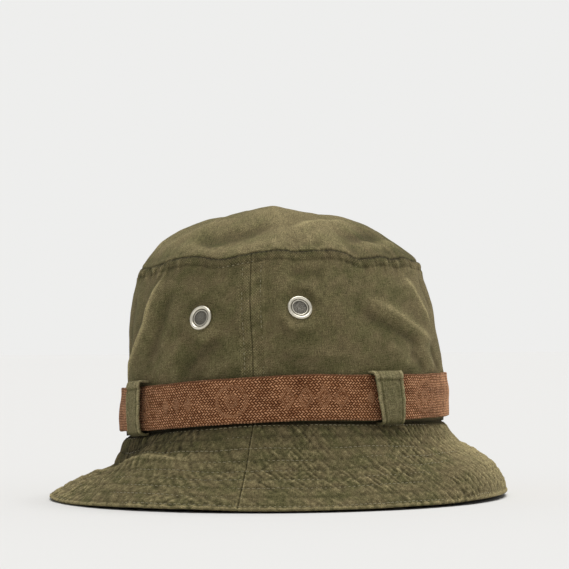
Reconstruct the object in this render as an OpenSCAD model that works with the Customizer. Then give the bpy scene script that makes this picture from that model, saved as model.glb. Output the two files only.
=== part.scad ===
// Bucket hat with a stitched flared brim, four screened vents and a webbing band in four belt loops.
// The frame: +Z up, the origin under the middle of the head opening on the surface that the brim stands on.
// The seam between the two front vents faces -Y.

/* [Head opening] */
// Inside circumference of the sweatband, which is the hat's size
head_girth = 570; // [540:5:600]
// Height of the sweatband
sweatband_h = 30; // [24:1:36]

/* [Crown] */
// Height of the crown wall
wall_h = 95; // [80:0.5:100]
// How much narrower the crown is at the top of the wall, on the radius
wall_taper = 12.4; // [6:0.2:14]
// How far the middle of the wall stands out from a straight line
wall_bulge = 1.5; // [0:0.5:3]
// Rise of the domed top above its seam
dome_h = 30.5; // [15:0.5:35]
// Height of the front vents above the surface, left and right
front_vent_z = [103, 108];
// Height of the back vents above the surface, left and right
back_vent_z = [105.5, 105.5];

/* [Brim] */
// Height of the head seam above the surface
seam_z = 42.5; // [35:0.5:48]
// How far the brim reaches out past the head seam
brim_reach = 40.6; // [30:0.2:48]
// Rows of stitching round the brim
brim_rows = 9; // [5:1:9]
// Distance between the rows, along the brim
row_pitch = 6.8; // [5:0.1:6.8]

/* [Band and loops] */
// Width of the webbing
webbing_w = 25; // [20:1:25]
// Thickness of the webbing
webbing_t = 1.8; // [1.2:0.1:2]
// Width of a belt loop
loop_w = 18; // [10:1:24]
// Angle from the front or back seam to a belt loop
loop_angle = 48; // [40:1:52]

/* [Vents] */
// Outside diameter of a vent's flange
vent_d = 14; // [12:0.1:16]
// Angle from the front or back seam to a vent
vent_angle = 18; // [14:0.5:26]

/* [Hidden] */
$fn = 96;

OLIVE = [0.36, 0.33, 0.23];
DARK_OLIVE = [0.28, 0.26, 0.18];
RUST = [0.46, 0.30, 0.20];
STEEL = [0.80, 0.79, 0.74];
MESH_GREY = [0.42, 0.43, 0.43];
WHITE = [0.88, 0.87, 0.84];
THREAD = [0.46, 0.43, 0.31];

// Cloth
cloth_t = 0.8;                 // one layer of twill
interlining_t = 0.6;           // the stiffener inside the brim
tape_t = 0.4;                  // seam tape and labels
ease = 0.05;                   // between two layers that are sewn together
allowance = 9;                 // width of a seam allowance
hem_turn = 3;                  // how far the brim's edge is turned under
thread_d = 0.5;                // topstitching thread

// Head opening and the layers that are sewn into its seam, from the inside out
head_r = head_girth / (2 * PI);
under_flange_r = head_r + 1.2;
top_flange_r = under_flange_r + cloth_t + ease;
base_r = top_flange_r + 2 * cloth_t + ease;
flange_top = seam_z + allowance;

// Crown
wall_z = seam_z + 0.5;
waist_z = flange_top + 1;
top_z = wall_z + wall_h;
sweatband_z = seam_z + 0.2;
sweatband_top = sweatband_z + sweatband_h;
top_r = base_r - wall_taper;
WALL_STEPS = 12;

// Brim
brim_r = base_r + brim_reach;
slope = atan2(seam_z, brim_reach);
brim_len = norm([seam_z, brim_reach]);
inter_off = cloth_t + ease;
under_off = inter_off + interlining_t + ease;
brim_stack = under_off + cloth_t;
first_row = 1.5;

// Band and loops
band_z = seam_z + 17;
band_r = base_r + 1.4;
band_outer = band_r + webbing_t;
lap_angle = 18;
loop_t = 1.2;
loop_r = band_outer + 0.5;
loop_z0 = seam_z + 2;
loop_z1 = seam_z + 32.5;
loop_foot = 5;

// Vents, as azimuth and height: front left, front right, back left, back right
VENTS = [
    [-90 - vent_angle, front_vent_z[0]],
    [-90 + vent_angle, front_vent_z[1]],
    [90 + vent_angle, back_vent_z[0]],
    [90 - vent_angle, back_vent_z[1]]
];
barrel_r = 4.3;
bore_r = 3.9;
hole_r = 4.5;
washer_z = -1.1;
washer_t = 0.5;
screen_pitch = 0.95;
screen_wire = 0.28;

LEFT = 90;                     // where the left half of the hat starts, turning through -X
RIGHT = -90;

// ---------- outlines, as radius and height ----------

// Outer radius of the crown wall at a height; it is upright where the head seam's layers lie behind it
function wall_r(z) =
    let (u = max(0, (z - waist_z) / (top_z - waist_z)))
    base_r - wall_taper * u + 4 * wall_bulge * u * (1 - u);

// Lean of the crown wall from upright at a height, in degrees
function wall_lean(z) = atan((wall_r(z - 1) - wall_r(z + 1)) / 2);

// Height of the dome's outer surface at a radius
function dome_z(r) = top_z + dome_h * (1 - pow(r / top_r, 2.6));

// Height of a surface that lies a distance under the dome's outer surface
function under_dome_z(r, depth) =
    let (steep = 2.6 * dome_h / top_r * pow(r / top_r, 1.6))
    dome_z(r) - depth * sqrt(1 + steep * steep);

// A point on the brim: distance down the slope from the head seam, and depth under its top surface
function brim_pt(s, depth) = [
    base_r + s * cos(slope) - depth * sin(slope),
    seam_z - s * sin(slope) - depth * cos(slope)
];

// Where a surface at a depth under the brim's top reaches a radius, and where it reaches the ground
function brim_at_r(r, depth) =
    brim_pt((r - base_r + depth * sin(slope)) / cos(slope), depth);
function brim_ground(depth) = (seam_z - depth * cos(slope)) / sin(slope);

// A layer that follows the crown wall between two heights, at two depths under its outer surface
module wall_layer(z0, z1, depth0, depth1, steps = WALL_STEPS) {
    zs = [for (i = [0:steps]) z0 + (z1 - z0) * i / steps];
    polygon(concat(
        [for (z = zs) [wall_r(z) - depth0, z]],
        [for (i = [steps:-1:0]) [wall_r(zs[i]) - depth1, zs[i]]]
    ));
}

// Half a turn of an outline
module half(start) rotate_extrude(angle = 180, start = start) children();

// Part of a turn of an outline, centred on an azimuth
module sector(azimuth, angle)
    rotate_extrude(angle = angle, start = azimuth - angle / 2) children();

// Puts children at a vent, with +Z out of the cloth and z = 0 on the cloth's surface
module at_vent(i)
    rotate([0, 0, VENTS[i][0]])
        translate([wall_r(VENTS[i][1]), 0, VENTS[i][1]])
            rotate([0, 90 - wall_lean(VENTS[i][1]), 0])
                children();

// ---------- crown ----------

module top_panel() {
    color(OLIVE) rotate_extrude() {
        flange_z = top_z - allowance;
        out_depth = cloth_t + ease;
        in_depth = out_depth + cloth_t;
        rim_r = top_r - in_depth;
        polygon(concat(
            [for (i = [0:20]) [top_r * i / 20, dome_z(top_r * i / 20)]],
            [for (i = [0:2]) let (z = top_z - allowance * i / 2) [wall_r(z) - out_depth, z]],
            [for (i = [2:-1:1]) let (z = top_z - allowance * i / 2) [wall_r(z) - in_depth, z]],
            [for (i = [20:-1:0]) [rim_r * i / 20, under_dome_z(rim_r * i / 20, cloth_t)]]
        ));
    }
}

// One half of the crown wall, with its seam allowances pressed back inside
module side_panel(start, vents) {
    fold = allowance / base_r * 180 / PI;
    inset = fold / 2 + 0.1;
    color(OLIVE) difference() {
        union() {
            half(start) wall_layer(wall_z, top_z, 0, cloth_t);
            for (middle = [start + inset, start + 180 - inset])
                sector(middle, fold)
                    wall_layer(sweatband_top + 1, top_z - allowance - 1, cloth_t / 2, 2 * cloth_t);
        }
        for (i = vents) at_vent(i) cylinder(r = hole_r, h = 6, center = true);
    }
}

module top_seam_tape() {
    depth = 2 * cloth_t + 3 * ease;
    color(DARK_OLIVE) rotate_extrude()
        wall_layer(top_z - allowance - 4, top_z - 1, depth, depth + tape_t, 4);
}

// The strip over the raw edges of a wall seam
module seam_tape(azimuth) {
    depth = 2 * cloth_t + ease;
    color(DARK_OLIVE) sector(azimuth, 10)
        wall_layer(sweatband_top + 1, top_z - allowance - 5, depth, depth + tape_t, 8);
}

// ---------- brim ----------

module brim_top(start) {
    turned = brim_ground(brim_stack) - hem_turn;
    color(OLIVE) half(start) polygon([
        [top_flange_r, flange_top],
        [top_flange_r + cloth_t, flange_top],
        [top_flange_r + cloth_t, wall_z],
        [base_r, wall_z],
        brim_pt(0, 0),
        brim_pt(brim_len, 0),
        brim_pt(brim_ground(brim_stack), brim_stack),
        brim_pt(turned, brim_stack),
        brim_pt(turned, cloth_t),
        brim_at_r(top_flange_r, cloth_t)
    ]);
}

module brim_interlining(start) {
    end = brim_ground(brim_stack) - hem_turn - ease;
    color(WHITE) half(start) polygon([
        brim_pt(0.5, inter_off),
        brim_pt(end, inter_off),
        brim_pt(end, inter_off + interlining_t),
        brim_pt(0.5, inter_off + interlining_t)
    ]);
}

module brim_under(start) {
    end = brim_ground(brim_stack) - hem_turn - ease;
    color(OLIVE) half(start) polygon([
        [under_flange_r, flange_top],
        [under_flange_r + cloth_t, flange_top],
        brim_at_r(under_flange_r + cloth_t, under_off),
        brim_pt(end, under_off),
        brim_pt(end, brim_stack),
        brim_at_r(under_flange_r, brim_stack)
    ]);
}

// ---------- inside ----------

module sweatband() {
    foot_r = under_flange_r - ease;
    color(DARK_OLIVE) rotate_extrude() polygon([
        [head_r, sweatband_z],
        [foot_r, sweatband_z],
        [foot_r, flange_top - 1],
        [head_r + cloth_t, flange_top],
        [head_r + cloth_t, sweatband_top],
        [head_r, sweatband_top]
    ]);
}

module size_label() {
    label = [46, 20];
    reach = 40;
    color(WHITE) intersection() {
        translate([-label[0] / 2, 8, top_z]) cube([label[0], label[1], dome_h]);
        rotate_extrude() polygon(concat(
            [for (i = [0:8]) [reach * i / 8, under_dome_z(reach * i / 8, cloth_t + ease)]],
            [for (i = [8:-1:0]) [reach * i / 8, under_dome_z(reach * i / 8, cloth_t + ease + tape_t)]]
        ));
    }
}

module care_label() {
    depth = cloth_t + 0.2;
    color(WHITE) sector(60, 12) wall_layer(sweatband_top + 1, 110, depth, depth + tape_t, 4);
}

// ---------- thread ----------

module thread_ring(r, z) rotate_extrude() translate([r, z]) circle(d = thread_d, $fn = 16);

module brim_stitching() {
    color(THREAD) for (i = [0:brim_rows - 1]) {
        p = brim_pt(first_row + row_pitch * i, -thread_d / 2 - ease);
        thread_ring(p[0], p[1]);
    }
}

module crown_stitching() {
    z = top_z - 5;
    color(THREAD) thread_ring(wall_r(z) + thread_d / 2 + ease, z);
}

// Two rows beside each wall seam
module seam_stitching() {
    beside = 4.5 / base_r * 180 / PI;
    width = thread_d / base_r * 180 / PI;
    color(THREAD) for (seam = [-90, 90], side = [-1, 1])
        sector(seam + side * beside, width)
            wall_layer(wall_z + 1.5, top_z - 6, -thread_d - ease, -ease, 10);
}

// ---------- band and loops ----------

// A closed ring of webbing, its ends lapped and sewn at the back
module webbing_band() {
    low = band_z - webbing_w / 2;
    color(RUST) {
        rotate_extrude() translate([band_r, low]) square([webbing_t, webbing_w]);
        sector(90, lap_angle)
            translate([band_outer - 0.2, low]) square([webbing_t + 0.2, webbing_w]);
    }
}

// A folded strip that stands off the wall, with both ends turned in and sewn down
module belt_loop(azimuth) {
    outer = loop_r + loop_t;
    bend = 1.6;
    high_foot = loop_z1 - loop_t - loop_foot;
    low_foot = loop_z0 + loop_t + loop_foot;
    color(OLIVE) sector(azimuth, loop_w / outer * 180 / PI) polygon([
        [wall_r(loop_z1) + ease, loop_z1],
        [outer - bend, loop_z1],
        [outer, loop_z1 - bend],
        [outer, loop_z0 + bend],
        [outer - bend, loop_z0],
        [wall_r(loop_z0) + ease, loop_z0],
        [wall_r(low_foot) + ease, low_foot],
        [wall_r(low_foot) + ease + cloth_t, low_foot],
        [wall_r(low_foot) + ease + cloth_t, loop_z0 + loop_t],
        [loop_r - bend / 2, loop_z0 + loop_t],
        [loop_r, loop_z0 + loop_t + bend / 2],
        [loop_r, loop_z1 - loop_t - bend / 2],
        [loop_r - bend / 2, loop_z1 - loop_t],
        [wall_r(high_foot) + ease + cloth_t, loop_z1 - loop_t],
        [wall_r(high_foot) + ease + cloth_t, high_foot],
        [wall_r(high_foot) + ease, high_foot]
    ]);
}

// ---------- vents ----------

// The front ring and its barrel, rolled over behind the washer
module vent_flange(i) {
    rim = vent_d / 2;
    crest = (rim + barrel_r + 0.4) / 2;
    half_w = rim - crest;
    rolled = washer_z - washer_t - ease;
    color(STEEL) at_vent(i) rotate_extrude() polygon(concat(
        [[bore_r, rolled - 0.5], [barrel_r + 0.6, rolled - 0.4], [barrel_r + 0.6, rolled]],
        [[barrel_r, rolled], [barrel_r, 0], [rim, 0]],
        [for (a = [0:20:160]) [crest + half_w * cos(a), 0.25 + 0.75 * sin(a)]],
        [[barrel_r + 0.35, 0.35], [barrel_r + 0.15, 0.6], [barrel_r - 0.15, 0.6], [bore_r, 0.4]]
    ));
}

module vent_washer(i) {
    color(STEEL) at_vent(i) translate([0, 0, washer_z - washer_t]) difference() {
        cylinder(r = vent_d / 2 - 0.4, h = washer_t);
        translate([0, 0, -1]) cylinder(r = barrel_r + ease, h = washer_t + 2);
    }
}

// A woven screen held in the barrel by its own rim
module vent_screen(i) {
    reach = bore_r - ease;
    wires = floor((reach - 0.3) / screen_pitch);
    color(MESH_GREY) at_vent(i) translate([0, 0, -0.2]) {
        difference() {
            cylinder(r = reach, h = 0.5, center = true);
            cylinder(r = reach - 0.35, h = 1, center = true);
        }
        for (k = [-wires:wires], turn = [0, 90])
            rotate([0, 0, turn])
                translate([k * screen_pitch, 0, turn == 0 ? 0.1 : -0.1])
                    rotate([90, 0, 0])
                        cylinder(
                            d = screen_wire,
                            h = 2 * sqrt(pow(reach - 0.15, 2) - pow(k * screen_pitch, 2)),
                            center = true, $fn = 16
                        );
    }
}

top_panel();
side_panel(LEFT, [0, 2]);  // side_panel_left
side_panel(RIGHT, [1, 3]);  // side_panel_right
brim_top(LEFT);  // brim_top_left
brim_top(RIGHT);  // brim_top_right
brim_interlining(LEFT);  // brim_interlining_left
brim_interlining(RIGHT);  // brim_interlining_right
brim_under(LEFT);  // brim_under_left
brim_under(RIGHT);  // brim_under_right
sweatband();
top_seam_tape();
seam_tape(-90);  // front_seam_tape
seam_tape(90);  // back_seam_tape
size_label();
care_label();
brim_stitching();
crown_stitching();
seam_stitching();
webbing_band();
belt_loop(-90 - loop_angle);  // loop_front_left
belt_loop(-90 + loop_angle);  // loop_front_right
belt_loop(90 + loop_angle);  // loop_back_left
belt_loop(90 - loop_angle);  // loop_back_right
vent_flange(0);  // vent_flange_front_left
vent_flange(1);  // vent_flange_front_right
vent_flange(2);  // vent_flange_back_left
vent_flange(3);  // vent_flange_back_right
vent_washer(0);  // vent_washer_front_left
vent_washer(1);  // vent_washer_front_right
vent_washer(2);  // vent_washer_back_left
vent_washer(3);  // vent_washer_back_right
vent_screen(0);  // vent_screen_front_left
vent_screen(1);  // vent_screen_front_right
vent_screen(2);  // vent_screen_back_left
vent_screen(3);  // vent_screen_back_right
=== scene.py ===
"""The looks of a garment-washed cotton bucket hat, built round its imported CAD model.

Shapes are worked out in millimetres and degrees, and become metres when a mesh is made. An azimuth is counted
from the hat's front seam, which faces -Y, and grows towards +X. A bearing is counted the same way from the
camera.
"""
import math

import bmesh
import bpy
import numpy as np
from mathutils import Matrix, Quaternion, Vector


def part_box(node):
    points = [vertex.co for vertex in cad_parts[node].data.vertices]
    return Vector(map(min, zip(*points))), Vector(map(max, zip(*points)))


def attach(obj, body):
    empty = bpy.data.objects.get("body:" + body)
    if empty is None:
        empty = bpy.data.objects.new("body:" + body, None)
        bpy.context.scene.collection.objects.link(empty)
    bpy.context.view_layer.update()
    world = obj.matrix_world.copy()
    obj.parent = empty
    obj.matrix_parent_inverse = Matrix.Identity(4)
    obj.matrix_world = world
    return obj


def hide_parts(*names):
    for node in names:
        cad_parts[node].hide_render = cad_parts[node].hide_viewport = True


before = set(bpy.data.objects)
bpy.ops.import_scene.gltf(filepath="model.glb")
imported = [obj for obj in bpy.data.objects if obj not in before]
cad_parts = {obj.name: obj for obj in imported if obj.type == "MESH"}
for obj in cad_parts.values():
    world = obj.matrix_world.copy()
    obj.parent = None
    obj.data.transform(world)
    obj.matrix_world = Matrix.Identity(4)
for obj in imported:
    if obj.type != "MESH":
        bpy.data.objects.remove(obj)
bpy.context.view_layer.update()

# ---------- sizes ----------

MM = 0.001
# Millimetres of cloth for each unit of a uv map
UV_MM = 10.0


def cad(node):
    """Lowest and highest corner of a CAD node, in millimetres."""
    return [np.array(corner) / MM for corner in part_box(node)]


WALL_LOW, WALL_HIGH = cad("side_panel_left")
BAND_LOW, BAND_HIGH = cad("webbing_band")
BASE_R, WALL_Z, TOP_Z = -WALL_LOW[0], WALL_LOW[2], WALL_HIGH[2]
BRIM_R = -cad("brim_top_left")[0][0]
DOME_H = cad("top_panel")[1][2] - TOP_Z
SWEAT_R = cad("sweatband")[1][0]

# The crown wall's outline, as in the CAD model
SEAM_Z = WALL_Z - 0.5
WAIST_Z = SEAM_Z + 10
WALL_TAPER, WALL_BULGE = 12.4, 1.5
DOME_POWER = 2.35
TOP_R = BASE_R - WALL_TAPER
CLOTH = 0.8

# The brim, as a distance down its slope from the head seam
SLOPE = math.atan2(SEAM_Z, BRIM_R - BASE_R)
BRIM_LEN = math.hypot(SEAM_Z, BRIM_R - BASE_R)
FIRST_ROW, ROW_PITCH, ROWS = 1.5, 6.8, 9

# Topstitching. The rows beside an upright seam lie to one side of it by SEAM_SHIFT
TOP_STITCH = 5.0
SEAM_STITCH, SEAM_SHIFT = 5.2, 0.7
STITCH, STITCH_GAP, THREAD_R = 2.0, 0.7, 0.19

# The camera, which looks a little to the right of the front seam
VIEW = 11.4
CAMERA_FAR, CAMERA_Z, CAMERA_AIM = 1200, 85.5, (1.2, 123.7)
CAMERA_LENS = 128.9
CAMERA_ROLL = -0.4
RIGHT = np.array([math.cos(math.radians(VIEW)), math.sin(math.radians(VIEW))])

# The hole in the cloth, hidden under each eyelet's flange
HOLE_R = 5.4

EYELETS = ["front_left", "front_right", "back_left", "back_right"]


# ---------- helpers for shapes ----------


def smooth(low, high, x):
    """0 below low, 1 above high, and a smooth step between them."""
    t = np.clip((x - low) / (high - low), 0, 1)
    return t * t * (3 - 2 * t)


def unit(vector):
    return vector / np.linalg.norm(vector, axis=-1, keepdims=True)


def bump(x, width):
    return np.exp(-((x / width) ** 2))


def turned(azimuth):
    """An azimuth brought into -180 to 180."""
    return (azimuth + 180) % 360 - 180


def bearing_of(azimuth):
    """How many degrees to the right of the camera's side of the hat an azimuth lies."""
    return turned(azimuth - VIEW)


def beside(bearing, low, high):
    """0 at low degrees and 1 at high degrees to one side of the camera, and 0 again at the back."""
    return smooth(low, high, bearing) * smooth(172, 120, bearing)


def seen(x, y):
    """How far a point lies to the camera's right and how far away from it, from the hat's middle."""
    return x * RIGHT[0] + y * RIGHT[1], -x * RIGHT[1] + y * RIGHT[0]


def standing(azimuth, r, z, lean):
    """Points at an azimuth, radius and height, leant to the camera's right."""
    t = np.radians(azimuth - 90)
    return np.stack([r * np.cos(t) + RIGHT[0] * lean, r * np.sin(t) + RIGHT[1] * lean, z], -1)


def through(points, x, period=None):
    """A smooth line through (x, value) points, which repeats after a period if one is given."""
    p = sorted(points)
    if period:
        p = [(a - period, b) for a, b in p[-3:]] + p + [(a + period, b) for a, b in p[:3]]
        x = (x - p[3][0]) % period + p[3][0]
    px, py = np.array(p, float).T
    slope = np.gradient(py, px)
    x = np.clip(x, px[0], px[-1])
    i = np.clip(np.searchsorted(px, x, side="right") - 1, 0, len(px) - 2)
    h = px[i + 1] - px[i]
    t = (x - px[i]) / h
    return (
        (1 + 2 * t) * (1 - t) ** 2 * py[i]
        + t * (1 - t) ** 2 * h * slope[i]
        + t * t * (3 - 2 * t) * py[i + 1]
        + t * t * (t - 1) * h * slope[i + 1]
    )


def by_bearing(points, azimuth):
    """A smooth line through (bearing, value) points all the way round the hat, read at an azimuth."""
    return through(points, bearing_of(azimuth), 360)


NOISE_ROWS = 128
noise_tables = {}


def noise(turn, y, cells, seed, slant=0.0):
    """Smooth noise from about -1 to 1 with a number of cells round the hat and cells of size 1 in y."""
    if (cells, seed) not in noise_tables:
        angle = np.random.RandomState(seed).uniform(0, 2 * math.pi, (cells, NOISE_ROWS))
        noise_tables[cells, seed] = np.cos(angle), np.sin(angle)
    gx, gy = noise_tables[cells, seed]
    x = turn * cells + slant * y
    ix, iy = np.floor(x).astype(int), np.floor(y).astype(int)
    fx, fy = x - ix, y - iy
    ease_x, ease_y = (t * t * t * (t * (6 * t - 15) + 10) for t in (fx, fy))

    def corner(i, j):
        a, b = (ix + i) % cells, (iy + j) % NOISE_ROWS
        return gx[a, b] * (fx - i) + gy[a, b] * (fy - j)

    low = corner(0, 0) * (1 - ease_x) + corner(1, 0) * ease_x
    high = corner(0, 1) * (1 - ease_x) + corner(1, 1) * ease_x
    return 1.5 * (low * (1 - ease_y) + high * ease_y)


def fold(azimuth, y, path, height, reach, crest=1.2, mm_per_degree=1.5, fade=0.3):
    """Height of one fold at azimuth and y. path is its crest as (bearing, y) points. reach is how far its
    sides run, as one number or as one for each side, and crest is the radius that its top is rounded to."""
    points = np.array(path, float)
    start = points[0][0] + VIEW
    x = turned(azimuth - start) * mm_per_degree
    px = (points[:, 0] - points[0][0]) * mm_per_degree
    py = points[:, 1]
    length = np.concatenate([[0], np.cumsum(np.hypot(np.diff(px), np.diff(py)))])
    best = np.full(np.shape(x), 1e9)
    along = np.zeros(np.shape(x))
    side = np.zeros(np.shape(x))
    for i in range(len(px) - 1):
        dx, dy = px[i + 1] - px[i], py[i + 1] - py[i]
        size = math.hypot(dx, dy)
        t = np.clip(((x - px[i]) * dx + (y - py[i]) * dy) / size**2, 0, 1)
        away = np.hypot(x - px[i] - t * dx, y - py[i] - t * dy)
        nearer = away < best
        best = np.where(nearer, away, best)
        along = np.where(nearer, length[i] + t * size, along)
        side = np.where(nearer, np.sign((x - px[i]) * dy - (y - py[i]) * dx), side)
    share = along / length[-1]
    one, other = reach if isinstance(reach, tuple) else (reach, reach)
    run = np.where(side > 0, one, other)
    shape = np.exp(-(np.sqrt(best**2 + crest**2) - crest) / run)
    return height * shape * smooth(0, fade, share) * smooth(0, fade, 1 - share)


def folded(out, azimuth, y, folds, **scale):
    """A relief with a table of folds added to it."""
    for path, height, reach, crest in folds:
        out = out + fold(azimuth, y, path, height, reach, crest, **scale)
    return out


# ---------- the deformed hat ----------


def wall_r(z):
    u = np.maximum(0, (z - WAIST_Z) / (TOP_Z - WAIST_Z))
    return BASE_R - WALL_TAPER * u + 4 * WALL_BULGE * u * (1 - u)


# How far the hat leans to the camera's right, by height over the head seam
LEAN = [
    (-41, -2.3), (-11, -0.4), (9, 0.8), (27, 1.1), (43, 0.5), (54, -0.3), (68, -1.2), (84, -1.6), (96, -1.7),
]
DOME_LEAN = -2.4

# How far the top seam rises or falls, by bearing
SEAM_RISE = [
    (-90, -4), (-62, -4.6), (-45, -1), (-37, 0), (-25, -2), (-9, 1.2), (0, 2.6), (7, 1.5), (13, 2.2),
    (27, 0.8), (30.5, -1.4), (37, -1.9), (42, -0.7), (53, -1.6), (59, -0.4), (72, -1.8), (100, -0.5),
    (125, 0.8), (150, -1), (180, 0.4), (210, -1.5), (240, 0),
]
# How far the crown's lower part has sunk towards one side, by bearing
SAG = [
    (-130, -7.5), (-90, -8.5), (-60, -7.2), (-45, -5), (-28, -2.6), (-11, -0.3), (6, 0.3), (30, 0), (67, 0.2),
    (100, 0), (150, -2.5), (190, -5.5),
]

# Eyelets: azimuth and height of the middle of each, and how far it is tipped to the right and upwards
VENT_TIPS = {"front_left": (-3, 8), "front_right": (9, 15), "back_left": (4, -6), "back_right": (-5, 5)}
VENTS = {}
for place in EYELETS:
    low, high = cad(f"vent_flange_{place}")
    middle = (low + high) / 2
    VENTS[place] = (math.degrees(math.atan2(middle[0], -middle[1])), middle[2], *VENT_TIPS[place])


# How far the head seam is pushed up under the band, by bearing
HEM_RISE = [
    (-130, 0), (-90, 0.8), (-60, 2.4), (-45, 3.0), (-11, 3.0), (30, 2.4), (67, 0.8), (100, 0), (180, 0),
]


def seam_twist(azimuth, down=0.0):
    """How far, in degrees, washing has pulled the front seam round, more so down the brim."""
    return (0.7 + 1.2 * down) * bump(turned(azimuth), 8 + 22 * down)


def hem_tuck(azimuth):
    """How far the head seam is drawn in at either side of the hat, where the band grips it."""
    bearing = bearing_of(azimuth)
    return 1.0 * bump(bearing - 88, 42) + 2.6 * bump(bearing + 86, 42)


def seam_rise(azimuth):
    turn = azimuth / 360
    small = 0.35 * noise(turn, turn * 0, 46, 5) + 0.25 * noise(turn, turn * 0, 120, 6)
    return by_bearing(SEAM_RISE, azimuth) + small


# Millimetres round the wall for each degree, at the height of the eyelets
WALL_PER_DEGREE = 1.55


def held_by_vents(azimuth, z, out, levels):
    """Lays the cloth flat where an eyelet clamps it, and tips it as the eyelet is tipped."""
    for level, (at, height, right, up) in zip(levels, VENTS.values()):
        across = turned(azimuth - at) * WALL_PER_DEGREE
        rise = z - height
        near = 1 - smooth(6.8, 15.0, np.hypot(across, rise) + 1.6 * noise(azimuth / 360, z / 8, 70, 15))
        plane = -math.tan(math.radians(right)) * across - math.tan(math.radians(up)) * rise
        out = out * (1 - near) + (level + 0.6 * plane) * near
    return out


WALL_FOLDS = [
    # crest as (bearing, height over the head seam), how high it is, how far its sides run, its top's radius
    ([(-48, 93), (-54, 79), (-58, 63), (-67, 49), (-74, 37), (-80, 27)], 4.2, (3.2, 15), 0.4),
    ([(-42, 83), (-47, 67), (-53, 51), (-60, 37)], -2.6, 6, 1.8),
    ([(-72, 89), (-75, 71), (-81, 51), (-87, 37)], -1.6, 5, 1.6),
    ([(-36, 53), (-44, 43), (-52, 33)], 0.9, (4, 9), 1.6),
    ([(-20, 55), (-31, 43), (-42, 30)], -2.0, 6, 2.0),
    ([(-12, 47), (-20, 38), (-31, 29)], 1.3, 8, 2.2),
    ([(2, 86), (10, 83), (19, 81)], -1.5, 4.5, 2.2),
    ([(24, 73), (30, 65), (40, 57), (52, 49), (64, 41)], -2.5, 5.5, 1.8),
    ([(30, 77), (40, 68), (52, 59), (64, 50), (74, 43)], 1.8, (10, 4), 1.2),
    ([(38, 48), (46, 40), (50, 29)], 1.1, 5, 1.4),
    ([(50, 43), (56, 36), (60, 28)], -1.3, 3, 1.0),
    ([(55, 49), (62, 39), (68, 29)], 1.2, 3, 1.0),
    ([(66, 47), (72, 37), (78, 28)], -1.6, 3.5, 1.0),
    ([(52, 91), (58, 79), (64, 67), (72, 53)], 1.7, 4, 1.1),
    ([(70, 89), (76, 77), (82, 63)], -1.8, 4.5, 1.4),
    ([(-6, 43), (4, 37), (16, 35), (26, 39)], -1.0, 5, 2.0),
    ([(104, 91), (108, 75), (118, 57), (128, 39)], 2.3, 8, 1.4),
    ([(128, 85), (138, 67), (150, 51)], -2.0, 7, 2.0),
    ([(196, 87), (206, 69), (214, 51), (226, 35)], 2.4, 9, 1.4),
    ([(222, 89), (232, 73), (240, 55)], -2.0, 7, 2.0),
    ([(244, 87), (250, 67), (252, 47), (262, 31)], 2.2, 7, 1.3),
]


def crests(azimuth, y, folds, **scale):
    """1 along the tops of the sharper folds and 0 away from them."""
    made = 0.0
    for path, height, _, crest in folds:
        if height > 1.5 and crest < 1.3:
            made = made + fold(azimuth, y, path, min(1.0, height / 3.5) ** 1.5, 1.1, 0.9, **scale)
    return made


def wall_lift(azimuth, z):
    high = smooth(SEAM_Z + 25, TOP_Z, z)
    return by_bearing(SAG, azimuth) * (1 - high) + seam_rise(azimuth) * high


def wall_relief(azimuth, z):
    """How far the crown wall's cloth stands out of its plain outline, but for its eyelets."""
    turn = azimuth / 360
    bearing = bearing_of(azimuth)
    below = TOP_Z - z
    out = 0.75 * noise(turn, z / 30, 17, 11, 0.6) + 0.34 * noise(turn, z / 13, 44, 12, 0.5)
    out = out + 0.16 * noise(turn, z / 6, 90, 13, -0.4)
    out = out * (0.5 + 0.3 * smooth(28, 60, np.abs(bearing)))
    out = folded(out, azimuth, z - SEAM_Z, WALL_FOLDS)
    out = (out + 1.6 * bump(z - SEAM_Z - 69, 20)) * smooth(2, 16, below) * smooth(WALL_Z, WALL_Z + 20, z)
    # puckers between the top seam and its stitching, which die out below
    strong = 0.6 + 0.6 * noise(turn, z * 0, 9, 21) + 0.7 * bump(bearing - 50, 26)
    strong = np.clip(strong + 0.6 * bump(bearing + 58, 22), 0.3, 1.5) * (1 - 0.6 * bump(bearing - 6, 22))
    pucker = noise(turn, z / 9, 104, 22, 0.25) + 0.75 * noise(turn, z / 7, 190, 23)
    pucker = pucker + 0.5 * noise(turn, z / 5, 310, 24)
    out = out + 0.7 * strong * pucker * (0.3 + bump(below - 3.5, 4.0)) * smooth(17, 5, below)
    out = out - 0.42 * bump(below - TOP_STITCH, 0.7)
    # the two upright seams: doubled cloth between the rows, a valley at each row, small ripples along them
    for seam in (0, 180):
        x = np.abs(turned(azimuth - seam) * wall_r(z) * math.pi / 180 - SEAM_SHIFT)
        band = smooth(8.4, 6.0, x)
        out = out + 0.4 * band - 0.4 * bump(x - SEAM_STITCH, 0.7)
        out = out + 0.4 * band * noise(turn, z / 4.2, 90, 31 + seam)
    return out - hem_tuck(azimuth) * smooth(SEAM_Z + 15, SEAM_Z, z)


def vent_level(at, height):
    """How far the cloth round an eyelet stands out."""
    azimuth = at + np.array([0, -4, 4, 0, 0])
    z = height + np.array([0, 0, 0, -6, 6])
    return wall_relief(azimuth, z - wall_lift(azimuth, z)).mean()


VENT_LEVELS = [vent_level(at, height) for at, height, *_ in VENTS.values()]


def wall_shape(azimuth, z):
    """How far the crown wall's cloth stands out of its plain outline, and how far it is lifted."""
    lifted = wall_lift(azimuth, z)
    out = held_by_vents(azimuth, z + lifted, wall_relief(azimuth, z), VENT_LEVELS)
    return out, lifted + by_bearing(HEM_RISE, azimuth) * smooth(SEAM_Z + 15, SEAM_Z, z)


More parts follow.
